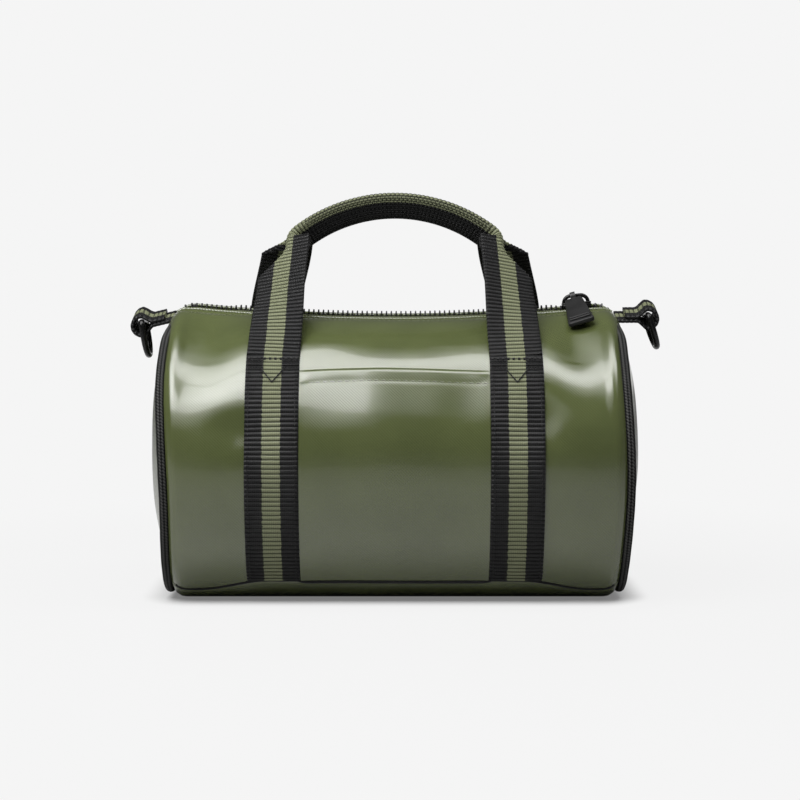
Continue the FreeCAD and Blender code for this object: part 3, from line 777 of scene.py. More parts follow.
class Finishes:
    """Every finish of the bag, built once."""

    canvas: Material
    webbing: Material
    grip_webbing: Material
    piping: Material
    tape: Material
    lining: Material
    teeth: Material
    metal: Material
    puller: Material
    olive_thread: Material
    black_thread: Material
    board: Material

    def __init__(self) -> None:
        """Build the groups, then the materials."""
        groups = Groups()
        web_black = (0.0030, 0.0030, 0.0032)
        grip = (84 * MM, 190 * MM)
        thread = {"yarn": 0.3 * MM, "ply": 0.3 * MM}
        sleeve = {"yarn": 1.9 * MM, "ply": 1.6 * MM, "depth": 0.5 * MM, "furrow_shade_share": 1.0, "specular": 0.06}
        tape = {"yarn": 0.7 * MM, "ply": 0.9 * MM}
        rubber = {"grain_depth": 0.05 * MM, "specular": 0.3}
        stiff = {"grain_depth": 0.08 * MM}
        kinds = {
            "canvas": CoatedCanvas("olive_coated_canvas", (0.066, 0.079, 0.028), 0.2),
            "webbing": RibbedWebbing("striped_webbing", web_black, 0.44),
            "grip_webbing": RibbedWebbing("striped_grip_webbing", web_black, 0.44, grip=grip),
            "piping": WovenBraid("black_piping_braid", (0.046, 0.046, 0.045), 0.6, **sleeve),
            "tape": WovenBraid("olive_zip_tape", (0.075, 0.085, 0.042), 0.7, **tape),
            "lining": WovenCloth("dark_lining", (0.030, 0.032, 0.026), 0.75),
            "teeth": HardFinish("moulded_zip_teeth", (0.007, 0.007, 0.007), 0.35),
            "metal": HardFinish("black_coated_metal", (0.014, 0.014, 0.014), 0.24, metallic=0.75),
            "puller": HardFinish("charcoal_puller", (0.007, 0.007, 0.007), 0.46, **rubber),
            "olive_thread": WovenBraid("olive_thread", (0.210, 0.225, 0.120), 0.55, **thread),
            "black_thread": WovenBraid("black_thread", (0.004, 0.004, 0.004), 0.5, **thread),
            "board": HardFinish("stiff_board", (0.045, 0.045, 0.042), 0.7, **stiff),
        }
        for label, kind in kinds.items():
            setattr(self, label, kind.shade(groups))


# The barrel's form


@dataclass(frozen=True)
class Dimple:
    """Soft hollow or swelling of the canvas; a positive rise swells."""

    x: float
    girth: float
    half_x: float
    half_girth: float
    rise: float
    turn: float

    def at(self, x: float, girth: float) -> float:
        """Rise of the skin at a point."""
        cosine = math.cos(self.turn)
        sine = math.sin(self.turn)
        along = ((x - self.x) * cosine + (girth - self.girth) * sine) / self.half_x
        across = ((girth - self.girth) * cosine - (x - self.x) * sine) / self.half_girth
        return self.rise * math.exp(-along * along - across * across)


# x, height, half sizes and rise in millimetres, then the turn, as the filled front shows them.
DIMPLES = (
    (-90, 126, 13, 29, -5.4, 0.0),
    (-72, 83, 14, 10, -1.9, 0.0),
    (89, 124, 13, 28, -5.2, 0.1),
    (65, 86, 12, 11, -1.7, 0.2),
    (0, 124, 22, 10, -0.6, 0.0),
    (-34, 124, 15, 10, 0.7, 0.0),
    (36, 96, 13, 14, -0.7, 0.5),
    (-6, 70, 40, 40, 1.2, 0.0),
    (-88, 60, 14, 40, 1.0, 0.0),
    (88, 60, 14, 40, 1.0, 0.0),
)
# How far each soft end stands out, at what height and over what width, in millimetres.
END_SWELLS = {End.LEFT: ((1.7, 108, 24), (-0.9, 45, 25)), End.RIGHT: ((1.6, 60, 35),)}
# Height of the fine ripples, their lengths along and round the barrel, and a step of the seed.
RIPPLES = ((0.7 * MM, 0.045, 0.05, 0.0), (0.22 * MM, 0.017, 0.022, 5.0))
SEEDS = {Side.FRONT: 11.0, Side.REAR: 37.0}


@dataclass(frozen=True)
class BarrelForm:
    """Skin of the barrel; girth runs from the middle of the base up the side to the zip."""

    half_depth: float = 74 * MM
    widest: float = 66 * MM
    side_rise: float = 74 * MM
    base_flat: float = 30 * MM
    seam_height: float = 11.7 * MM
    fold_height: float = 116 * MM
    zip_sag: float = 5 * MM
    crest_half: float = 97 * MM
    shoulder_length: float = 8.4 * MM
    shoulder_start: float = 100.4 * MM
    shoulder_power: float = 2.2
    seam_overlap: float = 1.4 * MM
    shoulder_inset: float = 4 * MM
    zip_lift: float = 1.3 * MM
    kink_width: float = 26 * MM
    sweep_steps: int = 160
    end_run: Pair = (75 * MM, 105 * MM)
    lip_out: float = 1.4 * MM
    lip_heights: Pair = (119 * MM, 135 * MM)
    soft_room: float = 10 * MM
    soft_girths: Pair = (44 * MM, 70 * MM)
    soft_reach: Pair = (4 * MM, 24 * MM)
    ridge_room: float = 8 * MM
    ridge_drop: float = 0.8 * MM
    ridge_reach: Pair = (26 * MM, 6 * MM)
    groove: Triple = (0.9 * MM, 12.5 * MM, 2.6 * MM)
    rear_roll: Triple = (1.9 * MM, 8.0 * MM, 4.5 * MM)
    seam_dip: float = 8.0 * MM
    seam_dip_run: Pair = (60 * MM, 94 * MM)
    seam_return: float = 3.0 * MM
    seam_return_start: float = 98 * MM
    probe: float = 0.2 * MM

    @cached_property
    def skin_end(self) -> float:
        """Where the long panels meet the piping."""
        return self.crest_half + self.shoulder_length + self.seam_overlap

    @cached_property
    def fold_angle(self) -> float:
        """Angle of the fold above the widest level."""
        return math.asin((self.fold_height - self.widest) / self.side_rise)

    @cached_property
    def fold_depth(self) -> float:
        """Distance of the fold from the middle plane."""
        return self.half_depth * math.cos(self.fold_angle)

    @cached_property
    def low_table(self) -> tuple[list[float], list[float]]:
        """Girths and angles round the lower quarter."""
        girths = [self.base_flat]
        angles = [0.0]
        wide = self.half_depth - self.base_flat
        for i in range(1, self.sweep_steps + 1):
            angle = i / self.sweep_steps * math.pi / 2
            middle = angle - math.pi / 4 / self.sweep_steps
            rate = math.hypot(wide * math.cos(middle), self.widest * math.sin(middle))
            girths.append(girths[-1] + rate * (angle - angles[-1]))
            angles.append(angle)
        return girths, angles

    @cached_property
    def widest_girth(self) -> float:
        """Girth of the widest level."""
        return self.low_table[0][-1]

    @cached_property
    def fold_girth(self) -> float:
        """Girth of the fold."""
        return self.widest_girth + self.side_rise * self.fold_angle

    @cached_property
    def crest_length(self) -> float:
        """Girth from the fold to the zip line."""
        return self.side_rise * (math.pi / 2 - self.fold_angle)

    @cached_property
    def zip_girth(self) -> float:
        """Girth of the zip line."""
        return self.fold_girth + self.crest_length

    @cached_property
    def zip_radius(self) -> float:
        """Radius of the arc in which the zip hangs."""
        return (self.crest_half**2 + self.zip_sag**2) / (2 * self.zip_sag)

    @cached_property
    def dimples(self) -> tuple[Dimple, ...]:
        """Hollows and swellings of the front."""
        return tuple(
            Dimple(x * MM, self.girth_at(height * MM), half_x * MM, half_girth * MM, rise * MM, turn)
            for x, height, half_x, half_girth, rise, turn in DIMPLES
        )

    def girth_at(self, height: float) -> float:
        """Girth of a height on the side, above the widest level or below it."""
        if height >= self.widest:
            return self.widest_girth + self.side_rise * math.asin((height - self.widest) / self.side_rise)
        girths, angles = self.low_table
        index = bisect_left(angles, math.acos((self.widest - height) / self.widest))
        return girths[min(index, len(angles) - 1)]

    def crest_height(self, x: float) -> float:
        """Height of the skin on the zip line, which hangs in an arc."""
        radius = self.zip_radius
        reach = min(abs(x), self.crest_half)
        return self.widest + self.side_rise - self.zip_sag + radius - math.sqrt(radius**2 - reach**2)

    def near_end(self, x: float, room: float) -> float:
        """1 along the barrel, falling to 0 over the last room before its end."""
        return smooth_step(self.skin_end, self.skin_end - room, abs(x))

    def turned_in(self, x: float) -> float:
        """How far the skin has turned in towards the piping."""
        past = max(0.0, abs(x) - self.shoulder_start)
        return self.shoulder_inset * (past / (self.skin_end - self.shoulder_start)) ** self.shoulder_power

    def end_shift(self, x: float, height: float) -> float:
        """How far the soft end stands out from its plane, signed along X."""
        swells = END_SWELLS[End.LEFT if x < 0 else End.RIGHT]
        out = sum(swell(height / MM, shape) for shape in swells)
        return math.copysign(1.0, x) * (out * MM * smooth_step(*self.end_run, abs(x)))

    def lip(self, x: float, height: float) -> float:
        """How far the top of a shoulder rolls out over its piping, signed along X."""
        out = self.lip_out * smooth_step(*self.lip_heights, height)
        return math.copysign(out * smooth_step(self.crest_half, self.skin_end, abs(x)), x)

    def crest_arc(self, x: float) -> tuple[float, float, float]:
        """Arc over the crest at x.

        Returns:
            Height of its centre, its radius and its angle from the zip to the fold.
        """
        rise = self.crest_height(x) - self.fold_height
        radius = (self.fold_depth**2 + rise**2) / (2 * rise)
        return self.crest_height(x) - radius, radius, math.asin(self.fold_depth / radius)

    def section(self, x: float, girth: float) -> Ray:
        """Point and outward normal of the plain front skin, by x and girth."""
        if girth <= self.base_flat:
            return Vector((x, -girth, 0.0)), Vector((0.0, 0.0, -1.0))
        if girth <= self.widest_girth:
            girths, angles = self.low_table
            index = min(max(1, bisect_left(girths, girth)), len(girths) - 1)
            share = (girth - girths[index - 1]) / (girths[index] - girths[index - 1])
            angle = mix(angles[index - 1], angles[index], share)
            sine, cosine = math.sin(angle), math.cos(angle)
            wide = self.half_depth - self.base_flat
            point = Vector((x, -self.base_flat - wide * sine, self.widest * (1 - cosine)))
            return point, Vector((0.0, -sine / wide, -cosine / self.widest)).normalized()
        if girth <= self.fold_girth:
            angle = (girth - self.widest_girth) / self.side_rise
            normal = Vector((0.0, -math.cos(angle), math.sin(angle)))
            return Vector((x, 0.0, self.widest)) + normal * self.half_depth, normal
        centre, radius, span = self.crest_arc(x)
        angle = span * (self.zip_girth - girth) / self.crest_length
        normal = Vector((0.0, -math.sin(angle), math.cos(angle)))
        return Vector((x, 0.0, centre)) + normal * radius, normal

    def fold_kink(self, x: float) -> float:
        """Angle by which the side and the crest differ at the fold."""
        return math.pi / 2 - self.fold_angle - self.crest_arc(x)[2]

    def drape(self, x: float, girth: float, side: Side) -> float:
        """Rise of the soft skin over the plain form, negative in a hollow.

        Args:
            x: place along the barrel.
            girth: distance round.
            side: front or rear.

        Returns:
            Rise in metres.
        """
        past = abs(girth - self.fold_girth)
        rise = 0.0
        if past < self.kink_width / 2:
            rise -= self.fold_kink(x) / (2 * self.kink_width) * (self.kink_width / 2 - past) ** 2
        reach = self.zip_girth - girth
        rise += self.zip_ridge(x, reach, side)
        fade = self.near_end(x, self.soft_room)
        fade *= smooth_step(*self.soft_girths, girth) * smooth_step(*self.soft_reach, reach)
        soft = sum(d.at(-side.value * x, girth) for d in self.dimples)
        for height, long, high, step in RIPPLES:
            soft += height * noise.noise(Vector((x / long, girth / high, SEEDS[side] + step)))
        return rise + soft * fade

    def zip_ridge(self, x: float, reach: float, side: Side) -> float:
        """Rise of the skin beside the zip, pulled down along its stitching.

        Args:
            x: place along the barrel.
            reach: girth from the zip line.
            side: front or rear; the rear stands a little higher.

        Returns:
            Rise in metres.
        """
        lift = -self.ridge_drop * smooth_step(*self.ridge_reach, reach)
        if side is Side.REAR:
            lift += swell(reach, self.rear_roll)
        return (lift - swell(reach, self.groove)) * self.near_end(x, self.ridge_room)

    def skin(self, x: float, girth: float, lift: float = 0.0, side: Side = Side.FRONT) -> Vector:
        """Point over the draped skin.

        Args:
            x: place along the barrel.
            girth: distance round.
            lift: height over the skin.
            side: front or rear.

        Returns:
            The point.
        """
        point, normal = self.section(x, girth)
        point = point + normal * (lift + self.drape(x, girth, side) - self.turned_in(x))
        point.x += self.end_shift(x, point.z) + self.lip(x, point.z)
        point.y *= -side.value
        return point

    def normal(self, x: float, girth: float, side: Side) -> Vector:
        """Outward normal of the draped skin."""
        step = self.probe
        along = self.skin(x + step, girth, 0.0, side) - self.skin(x - step, girth, 0.0, side)
        up = self.skin(x, girth + step, 0.0, side) - self.skin(x, girth - step, 0.0, side)
        return along.cross(up).normalized() * -side.value

    def round_base(self, x: float, girth: float, lift: float) -> Vector:
        """Point over the skin by a girth that is negative behind."""
        return self.skin(x, abs(girth), lift, Side.FRONT if girth >= 0 else Side.REAR)

    def seam_girth(self, x: float) -> float:
        """Girth of the base seam, which dips towards the ends."""
        dip = self.seam_dip * smooth_step(*self.seam_dip_run, abs(x))
        dip -= self.seam_return * smooth_step(self.seam_return_start, self.skin_end, abs(x))
        return self.girth_at(self.seam_height) - dip

    def loop(self, share: float, inset: float, x: float) -> Ray:
        """Point and outward normal round the barrel's end.

        Args:
            share: 0 at the base, on over the front and the zip, and back behind.
            inset: distance in from the plain form.
            x: place along the barrel.

        Returns:
            The point and the normal.
        """
        front = share <= 0.5
        girth = (share if front else 1.0 - share) * 2 * self.zip_girth
        point, normal = self.section(math.copysign(self.crest_half, x), girth)
        point = point - normal * inset
        point.x = x + self.end_shift(x, point.z)
        if not front:
            point.y = -point.y
            normal.y = -normal.y
        return point, normal


FORM = BarrelForm()


def cloth_sheet(
    name: str,
    finish: Material,
    x_range: Pair,
    girths: Callable[[float], Pair],
    side: Side,
    thickness: float,
    lift: Callable[[float, float], float] = lambda x, girth: 0.0,
    step: float = 2.0 * MM,
) -> Object:
    """Sheet of cloth on the barrel, shaded by the form so that neighbours join smoothly.

    Args:
        name: name of the piece.
        finish: its material.
        x_range: its left and right edge.
        girths: its low and high edge at x.
        side: front or rear.
        thickness: cloth thickness, inwards from the outer face.
        lift: height of the outer face over the skin.
        step: rough size of a face.

    Returns:
        The object.
    """
    left, right = x_range
    low, high = girths((left + right) / 2)
    columns = max(2, round((right - left) / step))
    rows = max(2, round((high - low) / step))

    def spot(p: float, q: float) -> Pair:
        x = mix(left, right, p if side is Side.FRONT else 1.0 - p)
        return x, mix(*girths(x), q)

    def place(p: float, q: float) -> Vector:
        x, girth = spot(p, q)
        return FORM.skin(x, girth, lift(x, girth), side)

    mesh = mapped_grid(columns, rows, place, spot)
    outer = len(mesh.verts)
    mesh.normal_update()
    thicken(mesh, thickness)
    made = piece(mesh, name, finish)
    if lift(*spot(0.5, 0.3)) == lift(*spot(0.5, 0.95)):
        shares = [(c / columns, r / rows) for r in range(rows + 1) for c in range(columns + 1)]
        normals = [FORM.normal(*spot(p, q), side) for p, q in shares]
        spare = [Vector()] * (len(made.data.vertices) - outer)
        made.data.normals_split_custom_set_from_vertices(normals + spare)
    return made


FINE_THREAD = (0.22 * MM, 0.16 * MM)


class Seamster:
    """Sews rows of stitches as small beads of thread."""

    def __init__(self, finish: Material) -> None:
        """Start with an empty run of thread in a material."""
        self.finish = finish
        self.mesh = new_mesh()

    def row(
        self,
        line: Callable[[float], Ray],
        length: float,
        pitch: float,
        fill: float,
        thread: Pair = FINE_THREAD,
    ) -> None:
        """Sew one row.

        Args:
            line: point and normal for a share from 0 to 1.
            length: real length of the row.
            pitch: distance from stitch to stitch.
            fill: share of the pitch that half a stitch covers.
            thread: half width and half height of the thread.
        """
        count = max(1, round(length / pitch))
        reach = 0.2 / count
        for i in range(count):
            share = (i + 0.5) / count
            point, normal = line(share)
            along = line(share + reach)[0] - line(share - reach)[0]
            place = frame_matrix(point, along, normal, Vector((pitch * fill, *thread)))
            bmesh.ops.create_icosphere(self.mesh, subdivisions=1, radius=1.0, matrix=place)

    def tie_off(self, name: str) -> Object:
        """Make the rows one piece."""
        smooth(self.mesh)
        return piece(self.mesh, name, self.finish)


@dataclass
class SewnShell:
    """Long panels below the fold, base, end panels, piping and front pocket."""

    finishes: Finishes
    panel: float = 1.0 * MM
    base_gap: float = 0.3 * MM
    base_sunk: float = 1.5 * MM
    base_ease: Pair = (3 * MM, 0.8 * MM)
    # Black cord that stands in for the shadow line along the base seam, a painted shadow.
    shadow_cord_radius: float = 0.9 * MM
    shadow_cord_stop: float = 3 * MM
    shadow_cord_drop: float = 1.0 * MM
    shadow_cord_sunk: float = 0.4 * MM
    shadow_cord_lift: float = 1.3 * MM
    shadow_cord_ease: float = 2 * MM
    piping_x: float = 107.95 * MM
    piping_inset: float = 4.6 * MM
    piping_radius: float = 2.4 * MM
    piping_seat: float = 0.15 * MM
    tuck_heights: Pair = (123 * MM, 136 * MM)
    tuck_down: float = 1.6 * MM
    tuck_in: float = 2.2 * MM
    braid_swell: float = 0.02
    braid_waves: Pair = (137.0, 61.0)
    dome: float = 11.0 * MM
    end_ripple: float = 0.5 * MM
    end_ripple_size: float = 0.03
    end_seed: float = 3.0
    pocket_half: float = 44.2 * MM
    pocket_top: float = 111.5 * MM
    pocket_drop: float = 1.9 * MM
    pocket_slack: float = 1.4 * MM
    pocket_cloth: float = 0.9 * MM
    pocket_ease: float = 5 * MM
    edge_round: Pair = (0.4 * MM, 1.7 * MM)
    hem: float = 7.0 * MM
    hem_roll: Triple = (0.5 * MM, 2.4 * MM, 2.4 * MM)
    hem_pull: Pair = (0.30 * MM, 1.1 * MM)
    hem_pitch: float = 3.4 * MM
    hem_fill: float = 0.36
    thread_lift: float = 0.06 * MM
    layer_gap: float = 0.1 * MM

    def build(self) -> None:
        """Make and dress every sewn piece."""
        for side in Side:
            self.long_panel(side)
            self.base_binding(side)
        self.base_panel()
        for end in End:
            self.end_panel(end)
            self.piping(end)
        self.pocket()

    def long_panel(self, side: Side) -> None:
        """One long panel from the base seam up to the fold."""
        made = cloth_sheet(
            f"{side.word}_canvas", self.finishes.canvas, (-FORM.skin_end, FORM.skin_end),
            lambda x: (FORM.seam_girth(x), FORM.fold_girth), side, self.panel,
        )
        dress(made, "bag_body", "coated_canvas", f"{side.word}_panel")

    def base_panel(self) -> None:
        """Base between the two low seams."""

        def place(p: float, q: float) -> Vector:
            x = mix(-FORM.skin_end, FORM.skin_end, p)
            reach = FORM.seam_girth(x) - self.base_gap
            girth = mix(reach, -reach, q)
            start, end = (reach - ease for ease in self.base_ease)
            sunk = self.base_sunk * smooth_step(start, end, abs(girth))
            return FORM.round_base(x, girth, -sunk)

        width = 2 * FORM.seam_girth(0.0)
        mesh = mapped_grid(100, 96, place, lambda p, q: (2 * FORM.skin_end * p, width * q))
        face_out(mesh, -Z_AXIS)
        thicken(mesh, self.panel)
        made = piece(mesh, "base_canvas", self.finishes.canvas)
        dress(made, "bag_body", "coated_canvas", "base_panel")

    def base_binding(self, side: Side) -> None:
        """Black cord sunk into the base seam as painted shadow of the seam, out over the pocket in front.
        """
        over, near = self.pocket_half + self.shadow_cord_ease, self.pocket_half - self.shadow_cord_ease

        def path(share: float) -> Vector:
            x = mix(-1.0, 1.0, share) * (FORM.skin_end - self.shadow_cord_stop)
            lift = -self.shadow_cord_sunk
            if side is Side.FRONT:
                lift += self.shadow_cord_lift * smooth_step(over, near, abs(x))
            return FORM.skin(x, FORM.seam_girth(x) - self.shadow_cord_drop, lift, side)

        # Painted shadow: a black tube along the seam's groove.
        mesh = tube(path, Y_AXIS, self.shadow_cord_radius, 90, 8)
        made = piece(mesh, f"{side.word}_base_binding", self.finishes.black_thread)
        dress(made, "bag_body", "piping")

    def end_panel(self, end: End) -> None:
        """Round bulging end inside its piping."""
        inset = self.piping_inset + self.piping_radius + self.piping_seat
        rim = FORM.half_depth - inset
        radius = (rim**2 + self.dome**2) / (2 * self.dome)
        middle = Vector((0.0, 0.0, (FORM.widest + FORM.side_rise) / 2))
        crown = self.piping_x + self.panel / 2 + self.dome

        def place(p: float, q: float) -> Vector:
            edge = FORM.loop(p, inset, 0.0)[0]
            point = middle + (edge - middle) * q
            off = (point - middle).length
            size = self.end_ripple_size
            spot = (point.y / size, point.z / size, self.end_seed + end.value)
            soft = self.end_ripple * noise.noise(Vector(spot)) * smooth_step(1.0, 0.7, q)
            point.x = end.value * (crown - radius + math.sqrt(radius**2 - off**2) + soft)
            point.x += FORM.end_shift(end.value * self.piping_x, edge.z) * q**3
            return point

        mesh = mapped_grid(120, 24, place, lambda p, q: tuple(place(p, q).yz), wrap=True)
        face_out(mesh, X_AXIS * end.value)
        thicken(mesh, self.panel)
        made = piece(mesh, f"{end.word}_end_canvas", self.finishes.canvas)
        dress(made, "bag_body", "coated_canvas", f"{end.word}_end_panel")

    def piping(self, end: End) -> None:
        """Woven sleeve over its cord, round one end seam."""

        def place(p: float, q: float) -> Vector:
            centre, outward = FORM.loop(p % 1.0, self.piping_inset, end.value * self.piping_x)
            tuck = smooth_step(*self.tuck_heights, centre.z)
            centre -= outward * self.tuck_down * tuck + X_AXIS * (end.value * self.tuck_in * tuck)
            angle = 2 * math.pi * q
            around = outward * math.cos(angle) + X_AXIS * math.sin(angle)
            uneven = math.prod(math.sin(p * wave) for wave in self.braid_waves)
            return centre + around * self.piping_radius * (1.0 + self.braid_swell * uneven)

        girth = 2 * math.pi * self.piping_radius
        length = 2 * FORM.zip_girth
        mesh = mapped_grid(320, 20, place, lambda p, q: (q * girth, p * length), wrap=True)
        face_out(mesh)
        made = piece(mesh, f"{end.word}_piping_braid", self.finishes.piping)
        dress(made, "bag_body", "piping", f"{end.word}_piping", f"{end.word}_piping_cord")

    def pocket_edge(self, x: float) -> float:
        """Girth of the pocket's top edge, slack in the middle."""
        sag = self.pocket_slack * (1 - (x / self.pocket_half) ** 2)
        return FORM.girth_at(self.pocket_top) - self.pocket_drop + sag

    def pocket_lift(self, x: float, girth: float) -> float:
        """Height of the pocket's outer face, with its rolled hem."""
        below = self.pocket_edge(x) - girth
        plain = self.layer_gap + self.pocket_cloth
        depth, width = self.hem_pull
        hem = swell(below, self.hem_roll) - swell(below, (depth, self.hem, width))
        sides = smooth_step(self.pocket_half, self.pocket_half - self.pocket_ease, abs(x))
        fall, reach = self.edge_round
        return plain + hem * sides - fall * max(0.0, 1.0 - below / reach) ** 2

    def pocket(self) -> None:
        """Slip pocket between the straps, its hem turned over and stitched."""
        made = cloth_sheet(
            "front_slip_pocket", self.finishes.canvas, (-self.pocket_half, self.pocket_half),
            lambda x: (FORM.seam_girth(x), self.pocket_edge(x)), Side.FRONT, self.pocket_cloth,
            self.pocket_lift, 1.0 * MM,
        )
        dress(made, "bag_body", "coated_canvas", "front_pocket")

        def line(share: float) -> Ray:
            x = mix(-self.pocket_half, self.pocket_half, share)
            girth = self.pocket_edge(x) - self.hem
            lift = self.pocket_lift(x, girth) + self.thread_lift
            return FORM.skin(x, girth, lift), FORM.normal(x, girth, Side.FRONT)

        sewing = Seamster(self.finishes.olive_thread)
        sewing.row(line, 2 * self.pocket_half, self.hem_pitch, self.hem_fill)
        dress(sewing.tie_off("pocket_hem_stitches"), "bag_body", "coated_canvas")


@dataclass(frozen=True)
class PullTab:
    """Tapered moulded puller with two ribs, drawn with its eye round the origin."""

    eye: float = 1.9 * MM
    wall: float = 0.65 * MM
    knuckle: float = 2.6 * MM
    knuckle_x: float = -1.2 * MM
    neck_length: float = 2.6 * MM
    neck_share: float = 0.9
    plate_x: float = -1.5 * MM
    thick: float = 2.2 * MM
    length: float = 31.0 * MM
    top_width: float = 8.6 * MM
    end_width: float = 13.0 * MM
    corner: float = 1.6 * MM
    rim: float = 0.55 * MM
    rib_step: float = 1.2 * MM
    rib_inset: float = 2.6 * MM
    rib_width: float = 1.5 * MM
    rib_height: float = 1.7 * MM
    soft: float = 0.4 * MM
    skew: float = math.radians(1.0)

    @property
    def top(self) -> float:
        """Where the plate starts below the eye."""
        return -(self.eye + self.wall) - self.wall

    def plate(self) -> Mesh:
        """Flat plate with round corners and soft rims."""
        mesh = new_mesh()
        near, far, low = self.top_width / 2, self.end_width / 2, self.top - self.length
        corners = ((-near, self.top), (-far, low), (far, low), (near, self.top))
        mesh.faces.new([mesh.verts.new((x, y, -self.thick / 2)) for x, y in corners])
        bevel(mesh, mesh.verts[:], self.corner, 5, "VERTICES")
        raised = bmesh.ops.extrude_face_region(mesh, geom=mesh.faces[:])["geom"]
        up = [item for item in raised if isinstance(item, bmesh.types.BMVert)]
        bmesh.ops.translate(mesh, vec=(0.0, 0.0, self.thick), verts=up)
        face_out(mesh)
        bevel(mesh, level_edges(mesh, True), self.rim, 3)
        return mesh

    def ribs(self) -> Mesh:
        """Two ribs near the free end."""
        mesh = new_mesh()
        for row in (2, 4):
            centre = (0.0, self.top - self.length + (row + 0.5) * self.rib_step, self.thick / 2)
            add_block(mesh, centre, (self.end_width - self.rib_inset, self.rib_width, self.rib_height))
        round_off(mesh, self.soft, 3)
        return mesh

    def neck(self) -> Mesh:
        """Block between the plate and its eye."""
        mesh = new_mesh()
        size = (self.knuckle, self.neck_length, self.thick * self.neck_share)
        add_block(mesh, (self.knuckle_x, self.top + 0.3 * MM, 0.0), size)
        round_off(mesh, self.soft, 2)
        return mesh

    def ring(self) -> Mesh:
        """The eye, round the bail's bar."""
        mesh = new_mesh()
        half, outer = self.knuckle / 2, self.eye + self.wall
        profile = ((-half, self.eye), (half, self.eye), (half, outer), (-half, outer))
        points = [mesh.verts.new((self.knuckle_x + x, 0.0, z)) for x, z in profile]
        edges = [mesh.edges.new((points[i], points[(i + 1) % 4])) for i in range(4)]
        bmesh.ops.spin(
            mesh, geom=points + edges, cent=(0.0, 0.0, 0.0), axis=(1.0, 0.0, 0.0), dvec=(0.0, 0.0, 0.0),
            angle=2 * math.pi, steps=28, use_merge=True, use_duplicate=False,
        )
        bmesh.ops.remove_doubles(mesh, verts=mesh.verts[:], dist=MERGE)
        face_out(mesh)
        return mesh

    def build(self) -> Mesh:
        """All parts in one, the plate set a little askew."""
        mesh = self.plate()
        absorb(mesh, self.ribs())
        hang = Matrix.Translation((self.plate_x, self.top, 0.0)) @ Matrix.Rotation(self.skew, 4, "Z")
        move(mesh, hang @ Matrix.Translation((0.0, -self.top, 0.0)))
        absorb(mesh, self.neck())
        absorb(mesh, self.ring())
        return mesh


